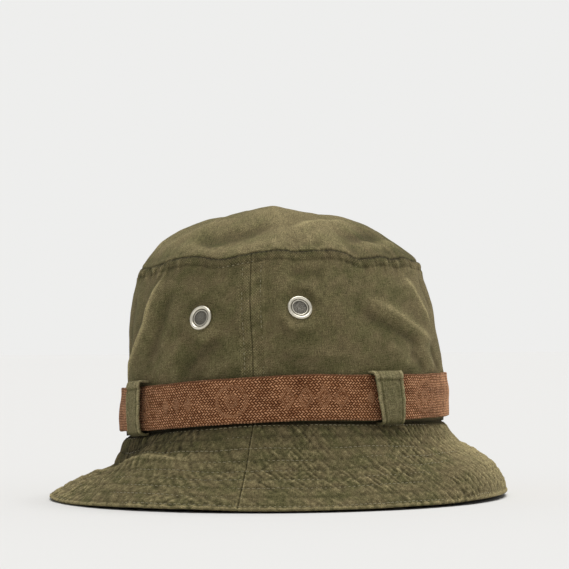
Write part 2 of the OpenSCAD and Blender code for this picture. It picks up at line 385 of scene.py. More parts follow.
def wall_point(azimuth, z, depth=0.0):
    """A point of the crown wall, at a depth under its outer face."""
    out, lifted = wall_shape(azimuth, z)
    lean = through(LEAN, z + lifted - SEAM_Z)
    return standing(azimuth + seam_twist(azimuth), wall_r(z) + out - depth, z + lifted, lean)


DOME_FOLDS = [
    # crest as (right, away) from the middle as the camera sees it, and then as for the wall
    ([(1, -66), (-1, -44), (-3, -14), (-2, 16)], 3.1, (8, 10), 3.0),
    ([(-62, -58), (-44, -57), (-26, -56), (-12, -57), (4, -60)], -5.6, 8.5, 3.5),
    ([(0, -70), (16, -60), (32, -44), (44, -28)], 2.8, (12, 4.5), 1.2),
    ([(34, -60), (48, -46), (58, -26)], -3.3, 5, 2.4),
    ([(46, -62), (60, -46), (70, -24)], 2.4, (6, 3.5), 1.0),
    ([(-78, -34), (-70, -14), (-66, 10), (-70, 34)], 3.2, 9, 4.0),
    ([(-36, -40), (-28, -14), (-26, 10), (-34, 30)], -2.0, 12, 6.0),
    ([(22, -36), (24, -10), (24, 14), (28, 34)], -1.8, 11, 6.0),
    ([(-74, -26), (-60, -34), (-42, -40), (-24, -38)], 2.2, 7, 2.0),
    ([(-60, -50), (-48, -54), (-38, -64)], 1.7, 6, 1.6),
    ([(-40, 10), (-16, 16), (14, 8), (40, 14)], -2.6, 14, 6.0),
    ([(-50, 40), (-24, 46), (6, 40)], 2.2, 11, 3.0),
    ([(16, 60), (34, 46), (56, 34)], -2.4, 9, 4.0),
]


def dome_dents(right, away):
    """The larger folds of the domed top, from above: right and away are seen from the camera."""
    return folded(0.0, right + VIEW, away, DOME_FOLDS, mm_per_degree=1.0, fade=0.35)


def dome_point(azimuth, share, depth=0.0):
    """A point of the domed top. share is 1 at its seam and 0 in its middle."""
    r = TOP_R * share
    t = np.radians(azimuth - 90)
    turn = azimuth / 360
    edge = TOP_R * (1 - share)
    x, y = r * np.cos(t), r * np.sin(t)
    right, away = seen(x, y)
    up = 1.1 * noise(right / 400, away / 34, 12, 41) + 0.5 * noise(right / 400, away / 14, 29, 42)
    up = up + 0.18 * noise(right / 400, away / 6, 66, 46)
    up = (up + dome_dents(right, away)) * smooth(0, 14, edge)
    strong = np.clip(0.7 + 0.7 * noise(turn, edge * 0, 11, 43), 0.2, 1.4)
    pucker = noise(turn, edge / 8, 96, 44, 0.3) + 0.8 * noise(turn, edge / 6, 180, 45)
    up = up + 0.65 * strong * pucker * smooth(14, 2, edge)
    up = up + seam_rise(azimuth) * share**3
    plain = TOP_Z + DOME_H * (1 - share**DOME_POWER)
    lean = LEAN[-1][1] + DOME_LEAN * (1 - share**2)
    steep = DOME_POWER * DOME_H / TOP_R * share ** (DOME_POWER - 1)
    tilt = 1 / np.sqrt(1 + steep**2)
    inward = depth * steep * tilt
    x = x * (1 - inward / np.maximum(r, 1)) + RIGHT[0] * lean
    y = y * (1 - inward / np.maximum(r, 1)) + RIGHT[1] * lean
    return np.stack([x, y, plain + up - depth * tilt], -1)


# Long bends of the brim, by bearing and distance down the slope
BRIM_FOLDS = [
    ([(-136, 16), (-108, 17), (-84, 17), (-64, 15), (-44, 11)], -9.0, (8, 24), 4.0),
    ([(-88, 30), (-76, 27), (-60, 22), (-42, 18.5), (-28, 21), (-18, 24)], 3.0, (4, 9), 0.7),
    ([(-46, 12), (-38, 15), (-32, 21), (-24, 24)], -1.8, 3.5, 1.0),
    ([(28, 11), (56, 13), (84, 14), (112, 13), (136, 12)], -2.6, 8, 5.0),
    ([(40, 40), (62, 39), (85, 38), (110, 37)], 5.0, 14, 9.0),
    ([(-34, 30), (-14, 28), (8, 30), (24, 32)], -1.7, 13, 6.0),
    ([(20, 16), (34, 28), (46, 46)], 1.4, 6, 2.5),
    ([(-22, 8), (-8, 14), (2, 22)], 0.9, 6, 2.0),
    ([(132, 30), (152, 30), (172, 34)], -3.0, 14, 6.0),
    ([(186, 38), (206, 34), (226, 36)], 2.6, 13, 6.0),
]
# Millimetres for each degree of these bends' bearings, and the share of their length in which they fade out
BRIM_SCALE = {"mm_per_degree": 2.0, "fade": 0.25}
# How far the brim's edge is lifted off the surface, by bearing
EDGE_LIFT = [
    (-90, 1.4), (-60, 1.3), (-35, 2.2), (-20, 2.2), (-8, 1.6), (12, 1.8), (30, 2.0), (46, 2.2), (60, 2.6),
    (76, 2.5), (90, 2.0), (120, 1.2), (150, 3.0), (180, 1.1), (215, 3.6), (245, 1.6),
]
# How far the brim's edge reaches out or in, by bearing
EDGE_REACH = [(-90, 0.4), (-45, 0.6), (0, 0), (45, -0.8), (90, -1.8), (135, -0.4), (180, 0.6), (225, 0)]


def brim_bend(azimuth, s):
    """The long bends: how far the brim stands out of its cone, is lifted and is let out."""
    share = np.clip(s / BRIM_LEN, 0, 1)
    out = 1.1 * share * noise(azimuth / 360, s / 40, 14, 51)
    out = folded(out, azimuth, s, BRIM_FOLDS, **BRIM_SCALE)
    out = out * smooth(-2, 9, s) * smooth(BRIM_LEN + 1, BRIM_LEN - 9, s)
    lift = by_bearing(EDGE_LIFT, azimuth) * smooth(0.35, 1.0, share)
    lift = lift + by_bearing(SAG, azimuth) * smooth(0.85, 0, share)
    lift = lift + by_bearing(HEM_RISE, azimuth) * smooth(0.45, 0, share)
    reach = by_bearing(EDGE_REACH, azimuth) * share - hem_tuck(azimuth) * smooth(0.38, 0, share)
    return out, lift, reach


# How far the brim's puckers run sideways for each millimetre down the slope, by bearing
PUCKER_LEAN = [(-150, -0.3), (-95, -0.4), (-40, 0.3), (0, 0.95), (38, 0.7), (70, 0.3), (130, 0.1)]
# Millimetres round the brim, halfway down its slope
BRIM_AROUND = 741


def brim_pucker(azimuth, s):
    """The small puckers that the rows of stitching draw up in washed cloth."""
    turn = azimuth / 360
    bearing = bearing_of(azimuth)
    row = (s - FIRST_ROW) / ROW_PITCH
    from_row = np.abs(row - np.clip(np.round(row), 0, ROWS - 1)) * ROW_PITCH
    valley = bump(from_row, 0.8)
    strong = 0.85 + 0.6 * noise(turn, s / 20, 16, 61)
    strong = strong + 0.35 * bump(bearing - 62, 44) + 0.5 * bump(bearing + 75, 40)
    steep = by_bearing(PUCKER_LEAN, azimuth)

    def gathers(cells, length, seed):
        return noise(turn, s / length, cells, seed, -steep * length * cells / BRIM_AROUND)

    ropes = 0.16 * (0.9 - 2.4 * np.abs(gathers(140, 22, 62))) + 0.6 * gathers(230, 16, 63)
    ropes = ropes * (0.25 + 0.5 * smooth(-4, 30, np.abs(bearing + 12) - 12))
    fine = gathers(350, 8, 66) + 0.6 * noise(turn, s / 2.4, 300, 67) + 0.5 * noise(turn, s / 5, 330, 57, 2.4)
    blots = noise(turn, s / 9, 74, 64) + 0.9 * smooth(20, 4, s) * noise(turn, s / 11, 52, 65, -0.2)
    hem = smooth(12, 5, BRIM_LEN - s) * noise(turn, s / 12, 280, 68)
    out = 0.55 * np.clip(strong, 0.35, 1.7) * (ropes + 0.85 * fine) + 0.23 * blots + 0.3 * hem
    out = out * (1 - 0.35 * valley)
    rows = (0.09 * (1 - bump(from_row, 1.8)) - 0.18 * valley) * (1 - 0.6 * beside(bearing, 26, 62))
    return (out + rows) * smooth(-1.5, 2.5, s)


def brim_point(azimuth, s, depth=0.0, pucker=1.0):
    """A point at a distance down the brim and at a depth under its upper surface."""
    out, lift, reach = brim_bend(azimuth, s)
    out = out + pucker * brim_pucker(azimuth, s) - depth
    r = BASE_R + s * math.cos(SLOPE) + out * math.sin(SLOPE) + reach
    z = SEAM_Z - s * math.sin(SLOPE) + out * math.cos(SLOPE) + lift
    twist = seam_twist(azimuth, 0.4 + 0.6 * np.clip(s / BRIM_LEN, 0, 1))
    return standing(azimuth + twist, r, z, through(LEAN, z - SEAM_Z))


# ---------- meshes ----------


def steps(low, high, size, fine_low=(), fine_high=()):
    """Values from low to high about size apart, with finer ones at given distances from either end."""
    first = low + (fine_low[-1] if fine_low else 0)
    last = high - (fine_high[-1] if fine_high else 0)
    middle = np.linspace(first, last, max(2, round((last - first) / size) + 1))
    ends = [low + d for d in fine_low[:-1]], [high - d for d in reversed(fine_high[:-1])]
    return np.concatenate([ends[0], middle, ends[1]])


def placed(name, data):
    """A new object in the scene."""
    made = bpy.data.objects.new(name, data)
    bpy.context.collection.objects.link(made)
    return made


def mesh_object(name, points, faces, uv=None, marks=None):
    """A mesh object from points in millimetres. marks are named values at the points, for its material."""
    mesh = bpy.data.meshes.new(name)
    faces = faces.tolist() if hasattr(faces, "tolist") else faces
    mesh.from_pydata((points.reshape(-1, 3) * MM).tolist(), [], faces)
    if uv is not None:
        layer = mesh.uv_layers.new(name="cloth")
        corner = np.empty(len(mesh.loops), dtype=np.int32)
        mesh.loops.foreach_get("vertex_index", corner)
        layer.data.foreach_set("uv", (uv.reshape(-1, 2)[corner] / UV_MM).astype(np.float32).ravel())
    for mark, values in (marks or {}).items():
        data = mesh.attributes.new(mark, "FLOAT", "POINT").data
        data.foreach_set("value", values.ravel().astype(np.float32))
    mesh.polygons.foreach_set("use_smooth", np.ones(len(mesh.polygons), dtype=bool))
    mesh.update()
    return placed(name, mesh)


def grid_faces(rows, columns, closed=False):
    """Quads of a grid whose points run along its rows. A closed grid's last column joins its first."""
    across = columns if closed else columns - 1
    i, j = np.meshgrid(np.arange(rows - 1), np.arange(across), indexing="ij")
    a = i * columns + j
    b = i * columns + (j + 1) % columns
    return np.stack([a, b, b + columns, a + columns], -1).reshape(-1, 4)


def grid_object(name, points, uv=None, marks=None, closed=False, flip=False):
    """A sheet from an array of points with rows, columns and coordinates."""
    faces = grid_faces(*points.shape[:2], closed)
    return mesh_object(name, points, faces[:, ::-1] if flip else faces, uv, marks)


def thicken(piece, thickness):
    """Gives a sheet its thickness on the side that its faces turn away from."""
    made = piece.modifiers.new("cloth", "SOLIDIFY")
    made.thickness = thickness * MM
    made.offset = -1
    made.use_even_offset = False
    dg = bpy.context.evaluated_depsgraph_get()
    mesh = bpy.data.meshes.new_from_object(piece.evaluated_get(dg))
    piece.modifiers.clear()
    piece.data = mesh


# ---------- materials ----------


class Value:
    """A value in a material's node tree. Arithmetic with it makes the nodes for that arithmetic."""

    def __init__(self, socket):
        self.socket = socket

    def __add__(self, other):
        return reckon("ADD", self, other)

    def __sub__(self, other):
        return reckon("SUBTRACT", self, other)

    def __mul__(self, other):
        return reckon("MULTIPLY", self, other)

    def __truediv__(self, other):
        return reckon("DIVIDE", self, other)


def plug(socket, value):
    """Links a value to a socket, or sets the socket to it if it is a plain number or colour."""
    value = getattr(value, "socket", value)
    if isinstance(value, bpy.types.NodeSocket):
        socket.id_data.links.new(value, socket)
    else:
        socket.default_value = value


def tree_of(value):
    return getattr(value, "socket", value).id_data


def reckon(operation, first, *others):
    node = tree_of(first).nodes.new("ShaderNodeMath")
    node.operation = operation
    for socket, value in zip(node.inputs, (first, *others)):
        plug(socket, value)
    return Value(node.outputs[0])


def dress(node, **values):
    """Sets a node's inputs, or its own properties where it has no such input. _ stands for a space."""
    for key, value in values.items():
        name = key.replace("_", " ")
        if name in node.inputs:
            plug(node.inputs[name], value)
        else:
            setattr(node, key, value)
    return node


def add(tree, kind, **values):
    return dress(tree.nodes.new(kind), **values)


def nodes_of(name):
    """A new material, its node tree and its shader."""
    material = bpy.data.materials.new(name)
    material.use_nodes = True
    tree = material.node_tree
    tree.nodes.clear()
    shader = tree.nodes.new("ShaderNodeBsdfPrincipled")
    add(tree, "ShaderNodeOutputMaterial", Surface=shader.outputs[0])
    return material, tree, shader


def mark(tree, name):
    """A value that the mesh's points carry."""
    return Value(add(tree, "ShaderNodeAttribute", attribute_name=name).outputs["Fac"])


def mix_colour(share, a, b):
    node = add(tree_of(share), "ShaderNodeMix", data_type="RGBA")
    plug(node.inputs[0], share)
    for socket, colour in ((node.inputs[6], a), (node.inputs[7], b)):
        plug(socket, (*colour, 1) if isinstance(colour, tuple) else colour)
    return node.outputs[2]


def scaled(vector, scale):
    node = add(tree_of(vector), "ShaderNodeVectorMath", operation="SCALE", Vector=vector)
    return dress(node, Scale=scale).outputs[0]


def cloth_uv(tree):
    """Place on the flat cloth, in millimetres."""
    return scaled(add(tree, "ShaderNodeUVMap", uv_map="cloth").outputs[0], UV_MM)


def stretched(place, size, turn=0.0):
    """The place on the cloth turned and divided by a size in millimetres each way."""
    node = add(tree_of(place), "ShaderNodeMapping", vector_type="TEXTURE", Vector=place)
    return dress(node, Rotation=(0, 0, turn), Scale=(*size, 1)).outputs[0]


def soft_noise(place, size, detail=2.0, rough=0.55, turn=0.0):
    vector = stretched(place, size, turn)
    node = add(tree_of(vector), "ShaderNodeTexNoise", Vector=vector, Scale=1.0)
    return Value(dress(node, Detail=detail, Roughness=rough).outputs[0])


def ribs(place, size, degrees=0.0, direction="X", **values):
    """Evenly spaced ribs, one in each size millimetres, turned by some degrees."""
    vector = stretched(place, (size, size), math.radians(degrees))
    node = add(tree_of(vector), "ShaderNodeTexWave", wave_type="BANDS", bands_direction=direction)
    return Value(dress(node, Vector=vector, Scale=0.5, **values).outputs[1])


def ranged(value, low, high, to_low=0.0, to_high=1.0):
    """A value from low to high brought into to_low to to_high and held there."""
    node = add(tree_of(value), "ShaderNodeMapRange", Value=value, From_Min=low, From_Max=high)
    return Value(dress(node, To_Min=to_low, To_Max=to_high).outputs[0])


def rough_up(shader, height, strength, depth):
    """Gives a shader a fine relief, its depth in millimetres."""
    relief = add(shader.id_data, "ShaderNodeBump", Height=height, Strength=strength, Distance=depth * MM)
    dress(shader, Normal=relief.outputs[0])


def twill(name, green, brown, pale):
    """Washed cotton twill: slanted ribs, slubs and uneven fading. The mark that its points carry makes it
    paler where rubbing has faded it and where a highlight is painted, and darker where shade is painted in
    creases, seams and hollows."""
    material, tree, shader = nodes_of(name)
    place = cloth_uv(tree)
    rib = ribs(place, 1.05, 58, Distortion=2.2, Detail=2.0, Detail_Scale=0.9)
    slub = soft_noise(place, (0.7, 4.0), 2.0, 0.6)
    weft = soft_noise(place, (3.4, 0.65), 2.0, 0.6)
    grain = soft_noise(place, (0.66, 0.66), 1.0, 0.7)
    faded = soft_noise(place, (34, 24), 4.0, 0.6)
    blotch = soft_noise(place, (6, 4.5), 3.0, 0.65, 0.9)
    hue = soft_noise(place, (15, 11), 3.0, 0.6, 0.4) + mark(tree, "warm") * 0.2
    wear_and_painted_light = mark(tree, "wear_and_painted_light")
    crossed = ribs(place, 1.7, 45) * ribs(place, 1.7, -45) - 0.25
    threads = slub * 0.5 + weft * 0.5
    speck = threads * 0.5 + grain * 0.5

    colour = mix_colour(ranged(hue, 0.38, 0.68, 0, 1.2), green, brown)
    # paler where rubbing has faded the cloth and where the mark paints a highlight
    colour = mix_colour(ranged(wear_and_painted_light + threads * 0.9, 0.75, 1.9, 0, 0.75), colour, pale)
    shade = ranged(faded * 0.5 + blotch * 0.5, 0.36, 0.64, 0.89, 1.11)
    shade = shade * ranged(rib, 0, 1, 0.7, 1.3) * ranged(speck, 0.36, 0.64, 0.45, 1.55)
    # darker where the mark paints shade, and paler still where it paints a highlight or rubbing has faded the
    # cloth most
    shade = shade * ranged(wear_and_painted_light, -1.45, 0.4, 0.1, 1) * ranged(wear_and_painted_light, 1.0, 2.2, 1, 1.4)
    shade = shade * (mark(tree, "doubled") * crossed * 0.75 + 1.0)
    dress(shader, Base_Color=scaled(colour, shade), Roughness=ranged(threads, 0.3, 0.7, 0.85, 1.0))
    dress(shader, Specular_IOR_Level=0.12)
    dress(shader, Sheen_Weight=0.09, Sheen_Roughness=0.5, Sheen_Tint=(0.6, 0.52, 0.32, 1))
    rough_up(shader, rib * 0.5 + speck * 1.2, 0.8, 0.35)
    return material


def plain_weave(name, base, pale, size):
    """A plain weave of round threads, such as lining, tape and labels."""
    material, tree, shader = nodes_of(name)
    place = cloth_uv(tree)
    height = ribs(place, size, Distortion=0.6) * ribs(place, size, direction="Y", Distortion=0.6)
    colour = mix_colour(soft_noise(place, (9, 7), 3.0), base, pale)
    dress(shader, Base_Color=scaled(colour, ranged(height, 0, 1, 0.78, 1.1)))
    dress(shader, Roughness=0.9, Specular_IOR_Level=0.2, Sheen_Weight=0.3)
    rough_up(shader, height, 0.6, 0.2)
    return material


def thread_material(name, base, pale):
    """Twisted sewing thread: a fine slanted ply with a soft shine."""
    material, tree, shader = nodes_of(name)
    place = cloth_uv(tree)
    colour = mix_colour(soft_noise(place, (4, 4), 2.0), base, pale)
    dress(shader, Base_Color=colour, Roughness=0.62, Sheen_Weight=0.3)
    rough_up(shader, ribs(place, 0.22, 38), 0.5, 0.06)
    return material


def beads(place, long, high, wander):
    """Slanted beads of a coarse weave, each row half a bead along from the last: the height of each."""
    parts = add(tree_of(place), "ShaderNodeSeparateXYZ", Vector=place).outputs
    rows = Value(parts[1]) / high + wander
    row = reckon("FLOOR", rows)
    odd = reckon("MODULO", row, 2.0)
    v = reckon("FRACT", rows) - 0.5
    along = Value(parts[0]) / long + odd * 0.5 + wander * 0.7 + v * (odd * 1.4 - 0.7)
    u = reckon("FRACT", along) - 0.5
    height = ranged(reckon("SQRT", u * u * 1.3 + v * v * 0.6), 0.55, 0.12)
    cell = add(tree_of(place), "ShaderNodeCombineXYZ", X=reckon("FLOOR", along), Y=row).outputs[0]
    own = add(tree_of(place), "ShaderNodeTexWhiteNoise", noise_dimensions="2D", Vector=cell).outputs[0]
    return height * ranged(own, 0, 1, 0.66, 1.16)


def webbing_material(name, gap, middle, pale):
    """Cotton webbing woven in coarse slanted beads, with a finer weave where the figures are."""
    material, tree, shader = nodes_of(name)
    place = cloth_uv(tree)
    wander = ranged(soft_noise(place, (7, 6), 1.0), 0.3, 0.7, -0.2, 0.2)
    fibre = soft_noise(place, (0.5, 0.3), 2.0, 0.7)
    uneven = soft_noise(place, (12, 6), 3.0)
    woven = add(tree, "ShaderNodeMix", data_type="FLOAT")
    plug(woven.inputs[0], mark(tree, "figure"))
    plug(woven.inputs[2], beads(place, BEAD_LONG, BEAD_HIGH, wander))
    plug(woven.inputs[3], beads(place, BEAD_LONG * 0.55, BEAD_HIGH * 0.6, wander) + 0.11)
    bead = Value(woven.outputs[0])
    # the colour runs from gap through middle to pale as a bead rises: painted shade between the beads and a
    # painted highlight on their tops, over the webbing's own rust brown; the mark that the band's points
    # carry adds painted sheen
    shade = bead + ranged(uneven, 0.3, 0.7, -0.12, 0.12) + mark(tree, "wear_and_painted_light")
    ramp = add(tree, "ShaderNodeValToRGB", Fac=shade + ranged(fibre, 0.3, 0.7, -0.16, 0.16))
    low, high = ramp.color_ramp.elements
    low.position, low.color = 0.05, (*gap, 1)
    high.position, high.color = 0.98, (*pale, 1)
    ramp.color_ramp.elements.new(0.5).color = (*middle, 1)
    dress(shader, Base_Color=ramp.outputs[0], Roughness=0.9, Specular_IOR_Level=0.15)
    dress(shader, Sheen_Weight=0.3, Sheen_Roughness=0.4, Sheen_Tint=(0.95, 0.62, 0.40, 1))
    rough_up(shader, bead + fibre * 0.25, 0.9, 0.5)
    return material


def metal(name, colour, rough, grain, tarnish):
    """Plated steel, a little scuffed and dulled, with painted shade where the mark that its points carry
    says.
    """
    material, tree, shader = nodes_of(name)
    place = add(tree, "ShaderNodeTexCoord").outputs["Object"]
    scale = 1 / (grain * MM)
    scuff = add(tree, "ShaderNodeTexNoise", Vector=place, Scale=scale, Detail=4.0, Roughness=0.6).outputs[0]
    stain = add(tree, "ShaderNodeTexNoise", Vector=place, Scale=0.25 * scale, Detail=3.0).outputs[0]
    shade = mix_colour(ranged(stain, 0.4, 0.7, 0, tarnish), colour, tuple(c * 0.55 for c in colour))
    # painted shade, as dark as the mark says
    shade = mix_colour(mark(tree, "painted_shade"), shade, (0.06, 0.055, 0.045))
    dress(shader, Base_Color=shade, Metallic=1.0)
    dress(shader, Roughness=ranged(scuff, 0.3, 0.7, rough - 0.12, rough + 0.18))
    rough_up(shader, scuff, 0.25, 0.05)
    return material


BEAD_LONG, BEAD_HIGH = 1.85, 1.42

OLIVE = twill("olive_twill", (0.129, 0.117, 0.050), (0.184, 0.148, 0.074), (0.338, 0.284, 0.146))
OLIVE_UNDER = twill("olive_twill_under", (0.120, 0.112, 0.054), (0.160, 0.134, 0.074), (0.28, 0.245, 0.14))
LOOP = twill("loop_twill", (0.142, 0.131, 0.058), (0.176, 0.149, 0.073), (0.37, 0.32, 0.175))
SWEAT = plain_weave("sweatband_cloth", (0.115, 0.098, 0.052), (0.150, 0.130, 0.072), 0.7)
TAPE = plain_weave("seam_tape", (0.130, 0.112, 0.060), (0.165, 0.142, 0.080), 0.9)
LINING = plain_weave("interlining", (0.60, 0.58, 0.52), (0.66, 0.64, 0.58), 0.5)
LABEL = plain_weave("label", (0.62, 0.60, 0.54), (0.68, 0.66, 0.60), 0.3)
THREAD = thread_material("thread", (0.28, 0.245, 0.125), (0.42, 0.37, 0.21))
# the gap colour is painted shade, and the pale one a painted highlight
WEBBING = webbing_material("webbing", (0.055, 0.015, 0.005), (0.33, 0.133, 0.053), (0.93, 0.50, 0.27))
EYELET = metal("eyelet_metal", (0.93, 0.88, 0.75), 0.42, 2.2, 0.35)
WIRE = metal("screen_wire", (0.46, 0.435, 0.38), 0.5, 1.0, 0.5)


def finish_piece(piece, material, slot, *nodes, body="hat"):
    """Gives a piece its material and its body, and hides the CAD nodes that it replaces. Its slot is not
    used.
    """
    piece.data.materials.clear()
    piece.data.materials.append(material)
    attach(piece, body)
    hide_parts(*nodes)
    return piece


def cut_from(piece, width, length, held, *rests_on, share=1.0):
    area = share * width * length * MM * MM
    width * MM
    length * MM
    return piece


# ---------- crown ----------

SEAM_STEPS = (0.0, 0.12, 0.25, 0.4, 0.6, 0.85, 1.15, 1.5)
# Length of the stitches that draw a seam together
SEAM_DRAW = 3.1


def tucked(distance, depth=1.5, width=0.55):
    """How deep a cloth's edge is drawn into its seam at a distance from it."""
    return depth * np.exp(-distance / width)


def crown_wall(name, start, node):
    """Half of the crown wall, its edges drawn into the seams."""
    per_degree = BASE_R * math.pi / 180 * 0.94
    fine = [d / per_degree for d in SEAM_STEPS]
    azimuth = steps(start, start + 180, 0.92 / per_degree, fine, fine)
    z = steps(WALL_Z + 0.2, TOP_Z, 0.92, (), SEAM_STEPS)
    a, h = np.meshgrid(azimuth, z)
    side = np.minimum(a - start, start + 180 - a) * per_degree
    top = TOP_Z - h
    depth = np.maximum(tucked(side, 0.55, 0.3), tucked(top, 2.2, 0.55))
    points = wall_point(a, h, depth)
    out = wall_shape(a, h)[0]
    soft = out - blurred(out, 5)
    bearing = bearing_of(a)
    # paler on the small ridges, where they rub, and painted shade in the small hollows; painted shade on the
    # strip under the top seam, which tips up towards the lamp; paler on the ridge beside each upright seam,
    # where it rubs
    wear_and_painted_light = np.clip(0.43 + 0.9 * soft, -0.2, 1.5) - 0.12 * smooth(5, 4, top) + 0.2 * bump(side - 1.0, 0.8)
    # paler along the sharper fold crests, where they rub, with a painted highlight on them; paler towards the
    # camera's right, partly wear and partly painted light
    wear_and_painted_light = wear_and_painted_light + 1.6 * crests(a, h - SEAM_Z, WALL_FOLDS) + 0.1 * beside(bearing, 50, 68)
    # darker at about 30 degrees to either side of the camera
    wear_and_painted_light = wear_and_painted_light - 0.14 * bump(bearing + 30, 18) - 0.07 * bump(bearing - 30, 16)
    drawn = 0.55 + 0.45 * np.cos(2 * math.pi * a * per_degree / SEAM_DRAW)
    drawn = drawn + 0.5 * noise(a / 360, h * 0, 60, 33)
    # painted shade in the groove of the top stitching, and deeper painted shade in the top seam's crease,
    # uneven with its stitches
    wear_and_painted_light = wear_and_painted_light - 0.3 * bump(top - TOP_STITCH, 0.7) - (1.6 + 0.5 * drawn) * bump(top, 0.9 + 0.3 * drawn)
    drawn = 0.5 + 0.5 * np.cos(2 * math.pi * h / SEAM_DRAW) + 0.4 * noise(a / 360, h / 7, 20, 34)
    # painted shade in the crease of each upright seam, uneven with its stitches
    wear_and_painted_light = wear_and_painted_light - (0.2 + 0.5 * drawn) * bump(side, 0.35)
    # painted shade at the foot of the wall under the band, and in its broad dents
    wear_and_painted_light = wear_and_painted_light - 1.5 * smooth(SEAM_Z + 4, SEAM_Z, h) - 0.3 * np.clip(-blurred(out, 6) / 2.5, 0, 1)
    marks = {
        "wear_and_painted_light": wear_and_painted_light,
        "doubled": np.maximum(smooth(7.5, 6, side), smooth(5.5, 4.5, top)),
        "warm": 0.8 * beside(bearing, 50, 72),
    }
    faces = outside_vents(points, grid_faces(*a.shape))
    piece = mesh_object(name, points, faces, np.stack([a * per_degree, h], -1), marks)
    thicken(piece, CLOTH)
    finish_piece(piece, OLIVE, "olive_twill", node)
    share = (BASE_R + TOP_R) / 2 / BASE_R
    size = TOP_Z - WALL_Z, math.pi * BASE_R
    return cut_from(piece, *size, "stretched", "sweatband_lining", "top_tape", share=share)


def blurred(values, times):
    """Values averaged over their neighbours a number of times. A relief less its blur is its fine part."""
    made = values.copy()
    for _ in range(times):
        for axis in (0, 1):
            before = np.roll(made, 2, axis)
            after = np.roll(made, -2, axis)
            made = (before + made + after) / 3
    return made


def vent_frame(place):
    """The middle of an eyelet on the deformed cloth, and the axes across it, up it and out of it."""
    azimuth, height = VENTS[place][:2]
    z = np.array([height])
    for _ in range(6):
        z = height - wall_shape(np.array([azimuth]), z)[1]
    at = np.array([azimuth, azimuth - 2.0, azimuth + 2.0, azimuth, azimuth])
    spot = wall_point(at, z + np.array([0, 0, 0, -3.0, 3.0]))
    across = spot[2] - spot[1]
    out = unit(np.cross(across, spot[4] - spot[3]))
    across = unit(across - out * across.dot(out))
    # the eyelet tips further than the cloth does
    right, up = np.radians(VENTS[place][2:])
    out = unit(out + 0.4 * (math.tan(right) * across + math.tan(up) * np.cross(out, across)))
    across = unit(across - out * across.dot(out))
    return spot[0] + 0.25 * out, across, np.cross(out, across), out


VENT_FRAMES = {place: vent_frame(place) for place in EYELETS}


def outside_vents(points, faces):
    """The faces that are left when the cloth is cut away under each eyelet's flange."""
    centre = points.reshape(-1, 3)[faces].mean(1)
    kept = np.ones(len(faces), dtype=bool)
    for middle, across, up, out in VENT_FRAMES.values():
        away = centre - middle
        kept &= (np.hypot(away @ across, away @ up) > HOLE_R) | (np.abs(away @ out) > 8)
    return faces[kept]


walls = [
    crown_wall("crown_wall_left", -180.0, "side_panel_left"),
    crown_wall("crown_wall_right", 0.0, "side_panel_right"),
]


def crown_top():
    """The domed top, its edge drawn into the seam."""
    azimuth = np.linspace(0, 360, 520, endpoint=False)
    edge = steps(0, TOP_R - 1.0, 1.05, SEAM_STEPS)
    share = 1 - edge / TOP_R
    a, k = np.meshgrid(azimuth, share)
    distance = TOP_R * (1 - k)
    points = dome_point(a, k, tucked(distance, 2.4, 0.75))
    points[..., 2] -= tucked(distance, 0.3, 0.5)
    t = np.radians(a - 90)
    x, y = TOP_R * k * np.cos(t), TOP_R * k * np.sin(t)
    right, away = seen(x, y)
    dents = dome_dents(right, away)
    fine = points[..., 2] - blurred(points[..., 2], 5)
    fine = fine * smooth(1, 4, distance) * smooth(3, 30, TOP_R * k)
    # paler on the small ridges, where they rub, and painted shade in the small hollows; paler on the ridge
    # beside the seam, where it rubs
    wear_and_painted_light = np.clip(0.49 + 0.9 * fine, 0, 1.4) + 0.3 * bump(distance - 2.2, 1.1)
    # a painted highlight on the front of the top as the camera sees it, and painted shade over its right side
    wear_and_painted_light = wear_and_painted_light + 0.2 * bump(right - 2, 34) * smooth(-5, -40, away) - 0.37 * smooth(30, 54, right)
    drawn = 0.55 + 0.45 * np.cos(2 * math.pi * a * TOP_R * math.pi / 180 / SEAM_DRAW)
    drawn = drawn + 0.5 * noise(a / 360, k * 0, 60, 33)
    # painted shade in the top seam's crease, uneven with its stitches, and in the dents
    wear_and_painted_light = wear_and_painted_light - (1.6 + 0.5 * drawn) * bump(distance, 0.65 + 0.2 * drawn) - 0.2 * np.clip(-dents / 4, 0, 1)
    marks = {"wear_and_painted_light": wear_and_painted_light, "warm": bump(right - 14, 24) * bump(away + 46, 26)}
    rows, columns = a.shape
    middle = list(range((rows - 1) * columns, rows * columns))
    faces = grid_faces(rows, columns, closed=True).tolist() + [middle]
    piece = mesh_object("crown_top", points, faces, np.stack([x, y], -1), marks)
    thicken(piece, CLOTH)
    finish_piece(piece, OLIVE, "olive_twill", "top_panel")
    across = 2 * math.hypot(TOP_R, DOME_H)
    return cut_from(piece, across, across, "draped", *(wall.name for wall in walls), share=math.pi / 4)


top = crown_top()


# ---------- brim ----------

# The upper cloth runs down the slope, turns round the edge and is stitched down underneath
EDGE_R, HEM_UNDER = 1.15, 7.0
BRIM_FLAT = BRIM_LEN - EDGE_R - 0.6
BRIM_PER_DEGREE = BRIM_R * math.pi / 180 * 0.86
# A layer's area over that of its length at the edge times its width
BRIM_SHARE = (BASE_R + BRIM_R) / 2 / BRIM_R


def brim_wrap(azimuth, along):
    """A point of the brim's upper cloth, by its distance along the cloth from the head seam."""
    arc = math.pi * EDGE_R
    s = np.minimum(along, BRIM_FLAT)
    angle = np.clip((along - BRIM_FLAT) / EDGE_R, 0, math.pi)
    under = np.clip(along - BRIM_FLAT - arc, 0, HEM_UNDER)
    s = s + EDGE_R * np.sin(angle) - under
    depth = EDGE_R * (1 - np.cos(angle))
    ripple = np.where(along > BRIM_FLAT + arc / 2, 0.4, 1.0)
    return brim_point(azimuth, s, depth, pucker=ripple)


